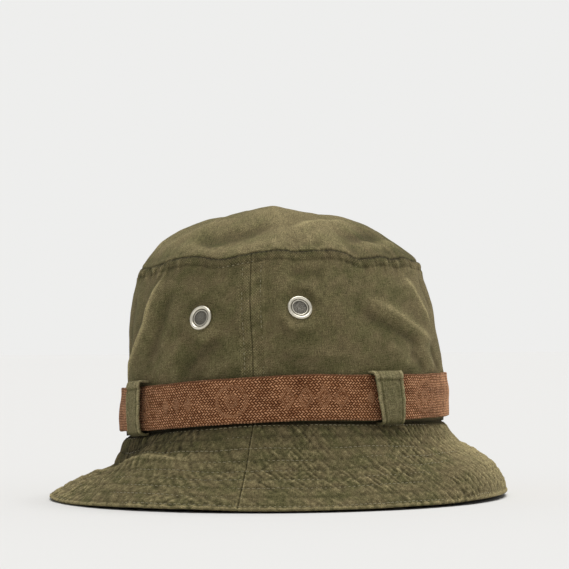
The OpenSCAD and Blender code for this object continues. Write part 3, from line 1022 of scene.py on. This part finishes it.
def brim_upper(name, start, node):
    """Half of the brim's upper cloth, drawn into its seams, paler where its puckers and folds rub, with
    painted shade in its hollows, seams and steep parts and painted light on its fold crests and towards the
    camera's right.
    """
    fine = [d / BRIM_PER_DEGREE for d in SEAM_STEPS]
    azimuth = steps(start, start + 180, 0.62 / BRIM_PER_DEGREE, fine, fine)
    reach = BRIM_FLAT + math.pi * EDGE_R + HEM_UNDER
    along = np.concatenate([[-1.4, -0.9, -0.5, -0.2], np.linspace(0, reach, round(reach / 0.62))])
    a, l = np.meshgrid(azimuth, along)
    side = np.minimum(a - start, start + 180 - a) * BRIM_PER_DEGREE
    points = brim_wrap(a, l)
    tuck = tucked(side, 0.8, 0.3) * smooth(reach - 8, reach - 12, l) + tucked(np.maximum(l, 0), 0.7, 0.6)
    inward = np.radians(a - 90)
    points[..., 2] -= tuck * math.cos(SLOPE)
    points[..., 0] -= tuck * math.sin(SLOPE) * np.cos(inward)
    points[..., 1] -= tuck * math.sin(SLOPE) * np.sin(inward)
    relief = brim_pucker(a, np.clip(l, 0, BRIM_LEN))
    bearing = bearing_of(a)
    # paler on the puckers' small ridges, where they rub, and painted shade in their small hollows
    wear_and_painted_light = np.clip(0.2 + 2.1 * (relief - blurred(relief, 4)), -0.9, 1.8)
    # paler towards the camera's right, partly wear and partly painted light, and on the outer brim far to the
    # left
    wear_and_painted_light = wear_and_painted_light + 0.95 * beside(bearing, 44, 78) + 0.35 * beside(-bearing, 50, 74) * smooth(26, 36, l)
    # painted shade on the steep upper brim at the left, and near the crown all round
    wear_and_painted_light = wear_and_painted_light - 0.7 * bump(bearing + 58, 30) * smooth(21, 15, l) - 0.25 * bump(l - 6, 8)
    # a little paler on the outer brim to the camera's left
    wear_and_painted_light = wear_and_painted_light + 0.12 * beside(-bearing, 10, 30) * smooth(16, 24, l)
    wear_and_painted_light = wear_and_painted_light + (1.2 + 0.7 * noise(a / 360, l * 0, 150, 69)) * bump(l - BRIM_LEN + 1.2, 0.8)
    # paler along the sharper fold crests, where they rub, with a painted highlight on them
    wear_and_painted_light = wear_and_painted_light + 1.2 * crests(a, l, BRIM_FOLDS, **BRIM_SCALE)
    # paler on the ridge beside the front and back seams, where it rubs, and painted shade in the seams'
    # crease
    wear_and_painted_light = wear_and_painted_light + np.where(a > start + 90, 0.2, 0.8) * bump(side - 0.8, 0.5) - 0.7 * bump(side, 0.35)
    # painted shade at the head seam under the band
    wear_and_painted_light = wear_and_painted_light - 1.2 * smooth(2.5, 0, l)
    uv = np.stack([a * BRIM_PER_DEGREE, l], -1)
    warm = 0.8 * beside(bearing, 34, 76) + 0.5 * beside(-bearing, 60, 80) * smooth(20, 34, l)
    piece = grid_object(name, points, uv, {"wear_and_painted_light": wear_and_painted_light, "warm": warm}, flip=True)
    finish_piece(piece, OLIVE, "olive_twill", node)
    return cut_from(piece, reach, math.pi * BRIM_R, "stretched", "floor", share=BRIM_SHARE)


def brim_layer(name, start, node, depth, low, high, size, material, slot, thickness):
    """One of the brim's inner or lower layers."""
    azimuth = steps(start, start + 180, size / BRIM_PER_DEGREE)
    along = np.linspace(low, high, round((high - low) / size))
    a, l = np.meshgrid(azimuth, along)
    points = brim_point(a, l, depth, pucker=0.5)
    relief = brim_pucker(a, l)
    uv = np.stack([a * BRIM_PER_DEGREE, l], -1)
    piece = grid_object(name, points, uv, {"wear_and_painted_light": np.clip(0.45 - 0.5 * relief, 0, 1)}, flip=True)
    thicken(piece, thickness)
    finish_piece(piece, material, slot, node)
    upper = name.replace("lower", "upper").replace("stiffener", "upper")
    return cut_from(piece, high - low, math.pi * BRIM_R, "stretched", upper, share=BRIM_SHARE)


for side_name, start in (("left", -180.0), ("right", 0.0)):
    brim_upper(f"brim_upper_{side_name}", start, f"brim_top_{side_name}")
    brim_layer(
        f"brim_stiffener_{side_name}", start, f"brim_interlining_{side_name}",
        depth=1.05, low=1.0, high=BRIM_LEN - 5, size=2.0, thickness=0.2,
        material=LINING, slot="interlining",
    )
    brim_layer(
        f"brim_lower_{side_name}", start, f"brim_under_{side_name}",
        depth=1.5, low=-2.2, high=BRIM_LEN - 3.4, size=1.3, thickness=0.7,
        material=OLIVE_UNDER, slot="olive_twill_under",
    )


# ---------- stitches ----------

THREAD_SIDES = 6
STITCH_RINGS = 5


def sunk(azimuth, along):
    """How deep a stitch lies in the worn nap of the cloth. In some lengths of a row it hardly shows."""
    away = smooth(34, 60, np.abs(bearing_of(azimuth)))
    away = away + 0.8 * (along > TOP_Z - TOP_STITCH - 1)
    away = away - 0.4 * bump(turned(azimuth), 6) * (along > BRIM_LEN + 5)
    return np.clip(0.2 + 0.5 * noise(azimuth / 360, along / 6, 22, 140) + 0.3 * away, 0, 0.34 + 0.2 * away)


def stitches(name, node, lines, place):
    """Separate stitches. A line holds the two ends of a stitch, and place turns a place on the cloth and a
    depth under its surface into points."""
    ends = np.array(lines)
    count = len(ends)
    share = np.linspace(0, 1, STITCH_RINGS)[None, :, None]
    where = ends[:, None, 0, :] * (1 - share) + ends[:, None, 1, :] * share
    rise = THREAD_R * (np.sin(math.pi * share[..., 0]) ** 0.5 * 1.9 - 0.9) + 0 * where[..., 0]
    rise = rise - sunk(where[..., 0], where[..., 1])
    centre = place(where[..., 0], where[..., 1], -rise)
    over = unit(place(where[..., 0], where[..., 1], -rise - 1.0) - centre)
    across = np.cross(unit(np.gradient(centre, axis=1)), over)
    ring = np.linspace(0, 2 * math.pi, THREAD_SIDES, endpoint=False)[None, None, :, None]
    outward = np.cos(ring) * across[:, :, None] + np.sin(ring) * over[:, :, None]
    points = centre[:, :, None] + THREAD_R * outward
    u = share * STITCH + 0 * ring[..., 0] + np.arange(count)[:, None, None] * 0.37
    v = ring[..., 0] * THREAD_R + 0 * u
    first = np.arange(count)[:, None] * THREAD_SIDES * STITCH_RINGS
    quads = (grid_faces(STITCH_RINGS, THREAD_SIDES, closed=True)[None] + first[..., None]).reshape(-1, 4)
    cap = np.arange(THREAD_SIDES)
    caps = np.concatenate([first + cap[::-1], first + cap + THREAD_SIDES * (STITCH_RINGS - 1)])
    faces = quads.tolist() + caps.tolist()
    piece = mesh_object(name, points, faces, np.stack([u, v], -1))
    finish_piece(piece, THREAD, "thread", node)


def row_round(radius, value, seed):
    """Stitches round the hat, as pairs of (azimuth, value)."""
    around = radius * 2 * math.pi
    count = int(around / (STITCH + STITCH_GAP))
    step = 360 / count
    shift = np.random.RandomState(seed).uniform(-0.12, 0.12, (count, 2))
    start = np.arange(count) * step
    end = start + step * STITCH / (STITCH + STITCH_GAP)
    return np.stack([np.stack([start, value + shift[:, 0]], -1), np.stack([end, value + shift[:, 1]], -1)], 1)


rows = [FIRST_ROW + ROW_PITCH * i for i in range(ROWS)]
lines = [row_round(BASE_R + s * math.cos(SLOPE), s, 100 + i) for i, s in enumerate(rows)]
stitches("brim_stitches", "brim_stitching", np.concatenate(lines), brim_point)
stitches("crown_stitches", "crown_stitching", row_round(TOP_R, TOP_Z - TOP_STITCH, 120), wall_point)


def upright_rows():
    """Stitches up both sides of the wall's two seams, as pairs of (azimuth, height)."""
    made = []
    for seam in (0, 180):
        for side in (-1, 1):
            z = WALL_Z + 2
            while z < TOP_Z - TOP_STITCH - STITCH:
                degrees = side * (SEAM_STITCH + SEAM_SHIFT * side) / (wall_r(z) * math.pi / 180)
                made.append([[seam + degrees, z], [seam + degrees, z + STITCH]])
                z += STITCH + STITCH_GAP
    return made


stitches("seam_stitches", "seam_stitching", upright_rows(), wall_point)


# ---------- band ----------

BAND_R = (BAND_HIGH[0] - BAND_LOW[0]) / 2 - 0.7
BAND_T = 1.3
BAND_LEAN = 0.6
BAND_W = BAND_HIGH[2] - BAND_LOW[2]
BAND_DIP = [
    (-130, -7.6), (-90, -8.4), (-60, -7.2), (-45, -5.5), (-28, -3.1), (-11, -1.4), (6, -0.1), (30, -0.7),
    (67, -0.6), (100, -0.6), (150, -3), (190, -5.8),
]


def band_point(azimuth, height, depth):
    """A point of the band, by height over its lower edge and depth under its outer face."""
    turn = azimuth / 360
    bearing = bearing_of(azimuth)
    out = 0.4 * noise(turn, height / 12, 16, 71) + 0.15 * noise(turn, height / 6, 60, 72)
    out = out - 1.1 * smooth(13, BAND_W, height) * bump(bearing - 78, 20) - 0.3 * bump(bearing - 84, 26)
    out = out - 1.4 * smooth(8, BAND_W, height) * bump(bearing + 88, 26)
    edge = 0.35 * noise(turn, height * 0, 40, 74) * (2 * height / BAND_W - 1)
    z = BAND_LOW[2] + height + by_bearing(BAND_DIP, azimuth) + edge
    return standing(azimuth, BAND_R + out - depth, z, BAND_LEAN)


def lozenge(x, y, wide, high, line=None):
    """1 inside a lozenge, or on its outline if line is the outline's width."""
    size = np.abs(x) / wide + np.abs(y) / high
    inside = smooth(1.06, 0.94, size)
    return inside if line is None else inside * smooth(1 - line - 0.1, 1 - line + 0.1, size)


def band_figure(x, y):
    """A plain pattern woven tone on tone, 1 inside it and 0 outside: a ringed disc, then lozenges."""
    around = 2 * math.pi * BAND_R
    repeat = around / 5
    u = (x + 10 + repeat / 2) % repeat - repeat / 2
    v = y - BAND_W / 2
    away = np.hypot(u, v)
    made = smooth(1.3, 0.7, np.abs(away - 8.4)) + smooth(4.6, 3.8, away) * smooth(1.2, 2.0, away)
    u = (u + repeat) % repeat
    for middle in (31, 41, 51, 61):
        made = made + lozenge(u - middle, v, 4.6, 7.2, 0.45) + lozenge(u - middle, v, 1.4, 2.2)
    for middle in (79, 87, 95):
        made = made + lozenge(u - middle, v, 2.9, 4.6)
    return np.clip(made, 0, 1)


def webbing_band():
    """The closed ring of webbing, with rounded selvedges."""
    columns = 1240
    azimuth = np.linspace(-180, 180, columns, endpoint=False)
    around = BAND_R * math.pi / 180
    edge = 0.65
    # across the webbing: up the outer face, round the selvedge, down the inner face
    corner = np.linspace(0, math.pi, 6)[1:-1]
    profile = [(h, 0.0, 1.0) for h in np.linspace(edge, BAND_W - edge, 50)]
    profile += [(BAND_W - edge + edge * math.sin(c), BAND_T / 2 * (1 - math.cos(c)), 0.5) for c in corner]
    profile += [(h, BAND_T, 0.0) for h in np.linspace(BAND_W - edge, edge, 10)]
    profile += [(edge - edge * math.sin(c), BAND_T / 2 * (1 + math.cos(c)), 0.5) for c in corner]
    profile += profile[:1]
    height, depth, face = np.array(profile).T
    a, h = np.meshgrid(azimuth, height)
    d = np.repeat(depth[:, None], columns, 1)
    f = np.repeat(face[:, None], columns, 1)
    x = a * around
    figure = band_figure(x, h) * f
    points = band_point(a, h, d)
    uv = np.stack([x, h + 30 * (1 - f)], -1)
    bearing = bearing_of(a)
    # painted sheen towards the band's right end as the camera sees it, in uneven upright streaks that paint
    # the light and shade of its crumples
    painted_sheen = beside(bearing, 58, 76) * (0.22 + 0.34 * noise(a / 360, h / 26, 130, 75))
    piece = grid_object("band", points, uv, {"figure": figure, "wear_and_painted_light": painted_sheen}, closed=True)
    joined = bmesh.new()
    joined.from_mesh(piece.data)
    bmesh.ops.remove_doubles(joined, verts=joined.verts, dist=0.001 * MM)
    joined.to_mesh(piece.data)
    joined.free()
    finish_piece(piece, WEBBING, "webbing", "webbing_band", body="band")
    return cut_from(piece, BAND_W, 2 * math.pi * BAND_R, "stretched", *(wall.name for wall in walls))


webbing_band()

# ---------- belt loops ----------

LOOPS = {
    # azimuth, how much higher than usual it goes, how far its nearer edge stands off the band, how far it
    # leans, how much it flares, how far it is shifted, and how much paler it is: wear, and painted light on
    # the front left loop, which stands in shade
    "front_left": (-48.0, 1.5, 1.0, 0.5, 0.0, 0.9, 0.35),
    "front_right": (48.0, 0.2, 1.0, 2.4, 3.0, 0.4, 0.1),
    "back_left": (-132.0, 0.7, 1.4, 0.6, 0.8, 0.0, 0.1),
    "back_right": (132.0, 0.7, 1.4, 0.6, 0.8, 0.0, 0.1),
}
LOOP_W, LOOP_T, LOOP_FAR = 17.5, 1.2, 2.8
LOOP_LOW, LOOP_HIGH = SEAM_Z + 2.2, SEAM_Z + 31.8


def loop_outline(stand, rise):
    """The loop's middle line as (radius, height), from the seam below up over the band and down behind its
    folded top. stand is how far it stands off the band, and rise how much higher than usual it goes."""
    outer = BAND_R + LOOP_T + stand
    top = LOOP_HIGH + rise
    low = [(BASE_R - 0.4, LOOP_LOW), (BASE_R + 1.4, LOOP_LOW - 0.8), (outer - 0.8, LOOP_LOW + 0.6)]
    share = np.linspace(0, 1, 9)
    face = [(outer + 0.5 * math.sin(math.pi * k), LOOP_LOW + 3 + (top - LOOP_LOW - 6) * k) for k in share]
    high = [(outer - 0.7, top - 1.2), (outer - 2.2, top - 0.2), (BASE_R - 0.6, top - 0.8)]
    return np.array(low + face + high)


def along_outline(outline, count):
    """Points evenly along an outline with its corners rounded: the distance, radius and height of each."""
    length = np.concatenate([[0], np.cumsum(np.hypot(*np.diff(outline, axis=0).T))])
    along = np.linspace(0, length[-1], count)
    r = np.interp(along, length, outline[:, 0])
    z = np.interp(along, length, outline[:, 1])
    for _ in range(3):
        r[1:-1] = (r[:-2] + 2 * r[1:-1] + r[2:]) / 4
        z[1:-1] = (z[:-2] + 2 * z[1:-1] + z[2:]) / 4
    return along, r, z


def belt_loop(place, azimuth, rise, stand, lean, flare, shift, rubbed_and_lit):
    """A folded strip of twill over the band, with the groove of a row of stitching at each side."""
    rows, columns = 72, 45
    along, r_near, z_near = along_outline(loop_outline(stand, rise), rows)
    r_far, z_far = along_outline(loop_outline(LOOP_FAR, rise), rows)[1:]
    w, i = np.meshgrid(np.linspace(-1, 1, columns), np.arange(rows))
    # the edge that faces the nearer seam stands away from the band
    off = 0.5 - 0.5 * np.sign(azimuth) * w
    radius = r_near[i] * (1 - off) + r_far[i] * off
    height = z_near[i] * (1 - off) + z_far[i] * off
    per_degree = (BAND_R + 1) * math.pi / 180
    share = (height - LOOP_LOW) / (LOOP_HIGH - LOOP_LOW)
    half = LOOP_W / 2 * (1 + 0.05 * share + 0.025 * np.sin(share * 9 + azimuth))
    a = azimuth + (shift + w * half + lean * (0.5 - share) - flare * share * (1 - w) / 2) / per_degree
    x = w * LOOP_W / 2
    from_edge = LOOP_W / 2 - np.abs(x)
    relief = 0.5 * smooth(0, 1.0, from_edge) - 0.45 * bump(from_edge - 2.7, 0.6)
    relief = relief - 0.35 * smooth(3.4, 4.8, from_edge)
    relief = relief + 0.3 * noise(w * 0.07 + azimuth / 360, height / 4, 40, 81)
    relief = relief + 0.15 * noise(w * 0.07 + azimuth / 360, height / 1.8, 90, 82)
    hem = LOOP_HIGH + rise - 5.2 - height
    relief = relief - 0.5 * bump(hem, 0.7) + 0.3 * smooth(0.5, -0.5, hem)
    points = standing(a, radius + relief, height + by_bearing(BAND_DIP, a), BAND_LEAN)
    # paler where the loop stands up and along its folded edges, where they rub, and painted shade where it
    # sinks and in the grooves of its stitching
    wear_and_painted_light = 0.35 + 0.8 * relief + 0.75 * bump(from_edge - 0.5, 0.9) - 0.6 * bump(from_edge - 2.7, 0.5)
    # paler by its rubbing, with painted light on the front left loop, which stands in shade; painted shade in
    # the groove of the stitching under its folded top and at its foot by the head seam
    wear_and_painted_light = wear_and_painted_light + rubbed_and_lit - 0.5 * bump(hem, 0.6) - 1.0 * smooth(LOOP_LOW + 2.5, LOOP_LOW, height)
    uv = np.stack([x, along[i]], -1)
    piece = grid_object(f"belt_loop_{place}", points, uv, {"wear_and_painted_light": np.clip(wear_and_painted_light, -1, 1.4)})
    thicken(piece, LOOP_T)
    finish_piece(piece, LOOP, "loop_twill", f"loop_{place}")
    return cut_from(piece, LOOP_W, along[-1], "stretched", "band")


for place, shape in LOOPS.items():
    belt_loop(place, *shape)

# ---------- inside ----------


INSIDE_PER_DEGREE = 1.6


def ring_piece(name, node, material, slot, r, z, thickness, size=1.6, start=-180, end=180):
    """A band of lining inside the crown. r and z are its radius and height at its lower and upper edge."""
    (r_low, r_high), (z_low, z_high) = r, z
    closed = end - start >= 360
    azimuth = np.linspace(start, end, round((end - start) * INSIDE_PER_DEGREE / size), endpoint=not closed)
    share = np.linspace(0, 1, max(3, round((z_high - z_low) / size)))
    a, k = np.meshgrid(azimuth, share)
    z = z_low + (z_high - z_low) * k
    ripple = 0.18 * noise(a / 360, z / 12, 34, 91) * np.sin(math.pi * k)
    depth = wall_r(z) - (r_low + (r_high - r_low) * k) - ripple
    points = wall_point(a, z, depth)
    uv = np.stack([a * INSIDE_PER_DEGREE, z], -1)
    piece = grid_object(name, points, uv, closed=closed)
    thicken(piece, thickness)
    finish_piece(piece, material, slot, node)
    length = math.radians(end - start) * (r_low + r_high) / 2
    return cut_from(piece, z_high - z_low, length, "stretched", walls[0].name, walls[1].name)


def heights(node):
    """A CAD node's lowest and highest point."""
    return [corner[2] for corner in cad(node)]


def under_wall(z, low, high):
    """The radii of the crown wall at two heights, less a distance at each."""
    return wall_r(z[0]) - low, wall_r(z[1]) - high


z = heights("sweatband")
ring_piece("sweatband_lining", "sweatband", SWEAT, "sweatband_cloth", (SWEAT_R - 0.2, SWEAT_R - 0.1), z, 0.8)
z = heights("top_seam_tape")
r = under_wall(z, 2.2, 2.6)
ring_piece("top_tape", "top_seam_tape", TAPE, "seam_tape", r, (z[0], z[1] - 1), 0.4)
z = heights("front_seam_tape")
r = under_wall(z, 1.9, 2.1)
for name, node, middle in (("front_tape", "front_seam_tape", 0), ("back_tape", "back_seam_tape", 180)):
    ring_piece(name, node, TAPE, "seam_tape", r, z, 0.4, 1.2, middle - 5, middle + 5)
z = heights("care_label")
ring_piece("care_tag", "care_label", LABEL, "label", under_wall(z, 1.5, 2.2), z, 0.35, 1.0, 144, 156)


def size_tag():
    """The blank size label, sewn under the domed top."""
    low, high = cad("size_label")
    x = np.linspace(low[0], high[0], 40)
    y = np.linspace(low[1], high[1], 18)
    a, b = np.meshgrid(x, y)
    azimuth = np.degrees(np.arctan2(b, a)) + 90
    share = np.hypot(a, b) / TOP_R
    points = dome_point(azimuth, share, CLOTH + 0.25)
    piece = grid_object("size_tag", points, np.stack([a, b], -1))
    thicken(piece, 0.35)
    finish_piece(piece, LABEL, "label", "size_label")
    return cut_from(piece, high[0] - low[0], high[1] - low[1], "hung", top.name)


size_tag()

# ---------- eyelets ----------

BARREL_R, BORE_R = 4.3, 3.9
WASHER_Z = -1.1
RING_SEGMENTS = 72
SCREEN_R, WIRE_PITCH, WIRE_R = 3.85, 0.62, 0.15


def lathe(name, place, outline):
    """A ring turned about an eyelet's axis from its closed outline of (radius, distance out of the cloth)."""
    middle, across, up, out = VENT_FRAMES[place]
    line = np.array(outline + outline[:1], float)
    for _ in range(2):
        # corners are cut twice, which rounds them
        cut = np.stack([line[:-1] * 0.75 + line[1:] * 0.25, line[:-1] * 0.25 + line[1:] * 0.75], 1)
        line = np.concatenate([cut.reshape(-1, 2), cut[:1, 0]])
    angle = np.linspace(0, 2 * math.pi, RING_SEGMENTS, endpoint=False)
    r, z = line[:, 0][:, None], line[:, 1][:, None]
    points = (
        middle
        + (r * np.cos(angle))[..., None] * across
        + (r * np.sin(angle))[..., None] * up
        + (z + 0 * angle)[..., None] * out
    )
    # painted shade on the inner lip, round the flange's rim where it meets the cloth and down the bore, and
    # darker in the groove
    painted_shade = bump(r - (BARREL_R + 0.6), 0.2) + 0.3 * smooth(BARREL_R + 0.6, BARREL_R + 0.3, r)
    painted_shade = painted_shade + 0.7 * bump(z, 0.22) * smooth(BARREL_R + 1.8, BARREL_R + 2.2, r)
    painted_shade = np.clip(painted_shade + 0.5 * smooth(BORE_R + 0.15, BORE_R, r), 0, 1) + 0 * angle
    return grid_object(name, points, marks={"painted_shade": painted_shade}, closed=True)


def wire_screen(place):
    """Two sets of crossing wires woven over and under each other, bowed out a little."""
    middle, across, up, out = VENT_FRAMES[place]
    points, faces = [], []
    count = int(SCREEN_R / WIRE_PITCH)
    sides, rings = 5, 40
    ring = np.linspace(0, 2 * math.pi, sides, endpoint=False)
    seed = np.random.RandomState(200)
    for turn in (0, 1):
        for k in range(-count, count + 1):
            away = k * WIRE_PITCH + seed.uniform(-0.04, 0.04)
            half = math.sqrt(SCREEN_R**2 - away**2)
            along = np.linspace(-half, half, rings)
            weave = 0.13 * np.cos(math.pi * along / WIRE_PITCH) * (1 if (k + turn) % 2 else -1)
            bow = 0.5 * (1 - (along**2 + away**2) / SCREEN_R**2)
            z = -0.25 + weave + bow
            one, other = (across, up) if turn else (up, across)
            centre = middle + along[:, None] * one + away * other + z[:, None] * out
            outward = np.cos(ring)[:, None] * other + np.sin(ring)[:, None] * out
            made = centre[:, None] + WIRE_R * outward
            base = sum(len(p) for p in points)
            points.append(made.reshape(-1, 3))
            faces.extend((grid_faces(rings, sides, closed=True) + base).tolist())
    return mesh_object(f"vent_mesh_{place}", np.concatenate(points), faces)


for place in EYELETS:
    low, high = cad(f"vent_flange_{place}")
    rim = (high[2] - low[2]) / 2
    front = [
        (BORE_R, 0.1), (BORE_R + 0.05, 0.35), (BARREL_R, 0.5), (BARREL_R + 0.3, 0.45), (BARREL_R + 0.5, 0.2),
        (BARREL_R + 0.7, 0.2), (BARREL_R + 0.95, 0.8), (rim - 0.9, 1.3), (rim - 0.3, 1.0), (rim, 0.45),
        (rim, 0.0), (BARREL_R, 0.0), (BARREL_R, WASHER_Z - 0.55), (BARREL_R + 0.7, WASHER_Z - 0.55),
        (BARREL_R + 0.7, WASHER_Z - 0.95), (BORE_R, WASHER_Z - 1.0),
    ]
    back = [
        (BARREL_R + 0.1, WASHER_Z), (rim - 0.4, WASHER_Z),
        (rim - 0.4, WASHER_Z - 0.5), (BARREL_R + 0.1, WASHER_Z - 0.5),
    ]
    finish_piece(lathe(f"vent_ring_{place}", place, front), EYELET, "eyelet_metal", f"vent_flange_{place}")
    finish_piece(lathe(f"vent_backing_{place}", place, back), EYELET, "eyelet_metal", f"vent_washer_{place}")
    finish_piece(wire_screen(place), WIRE, "screen_wire", f"vent_screen_{place}")


# ---------- floor, lights and camera ----------


def stage():
    """A pale floor out to where it can't be told from the backdrop."""
    data = bpy.data.meshes.new("floor")
    half = 40.0
    corners = [(-half, -half, 0), (half, -half, 0), (half, half, 0), (-half, half, 0)]
    data.from_pydata(corners, [], [(0, 1, 2, 3)])
    floor = placed("floor", data)
    floor.location.z = -0.0001
    material, tree, shader = nodes_of("pale_floor")
    dress(shader, Base_Color=(0.71, 0.71, 0.71, 1), Roughness=0.9, Specular_IOR_Level=0.1)
    data.materials.append(material)


def lights():
    """A white backdrop that lights the hat less than it shows, and a broad soft lamp overhead."""
    world = bpy.data.worlds.new("studio")
    bpy.context.scene.world = world
    world.use_nodes = True
    tree = world.node_tree
    tree.nodes.clear()
    shown = add(tree, "ShaderNodeBackground", Color=(0.855, 0.855, 0.845, 1), Strength=1.0)
    light = add(tree, "ShaderNodeBackground", Color=(1.0, 1.0, 1.0, 1), Strength=0.42)
    path = add(tree, "ShaderNodeLightPath")
    mix = add(tree, "ShaderNodeMixShader")
    for socket, value in zip(mix.inputs, (path.outputs["Is Camera Ray"], light.outputs[0], shown.outputs[0])):
        plug(socket, value)
    add(tree, "ShaderNodeOutputWorld", Surface=mix.outputs[0])

    data = bpy.data.lights.new("overhead", "SUN")
    data.energy = 2.6
    data.angle = math.radians(40)
    data.color = (1.0, 0.99, 0.96)
    lamp = placed("overhead", data)
    lamp.rotation_euler = (math.radians(-11), math.radians(8), 0)


def camera():
    """A long lens, a little above the brim."""
    data = bpy.data.cameras.new("camera")
    data.sensor_width = 36
    data.lens = CAMERA_LENS
    data.clip_start, data.clip_end = 0.1, 100
    made = placed("camera", data)
    toward = np.array([RIGHT[1], -RIGHT[0]])
    place = np.array([*(toward * CAMERA_FAR), CAMERA_Z])
    aim = np.array([*(RIGHT * CAMERA_AIM[0]), CAMERA_AIM[1]])
    made.location = Vector(place * MM)
    made.rotation_mode = "QUATERNION"
    roll = Quaternion((0, 0, 1), math.radians(CAMERA_ROLL))
    made.rotation_quaternion = Vector(aim - place).to_track_quat("-Z", "Y") @ roll
    bpy.context.scene.camera = made


stage()
lights()
camera()
bpy.context.scene.view_settings.view_transform = "Standard"
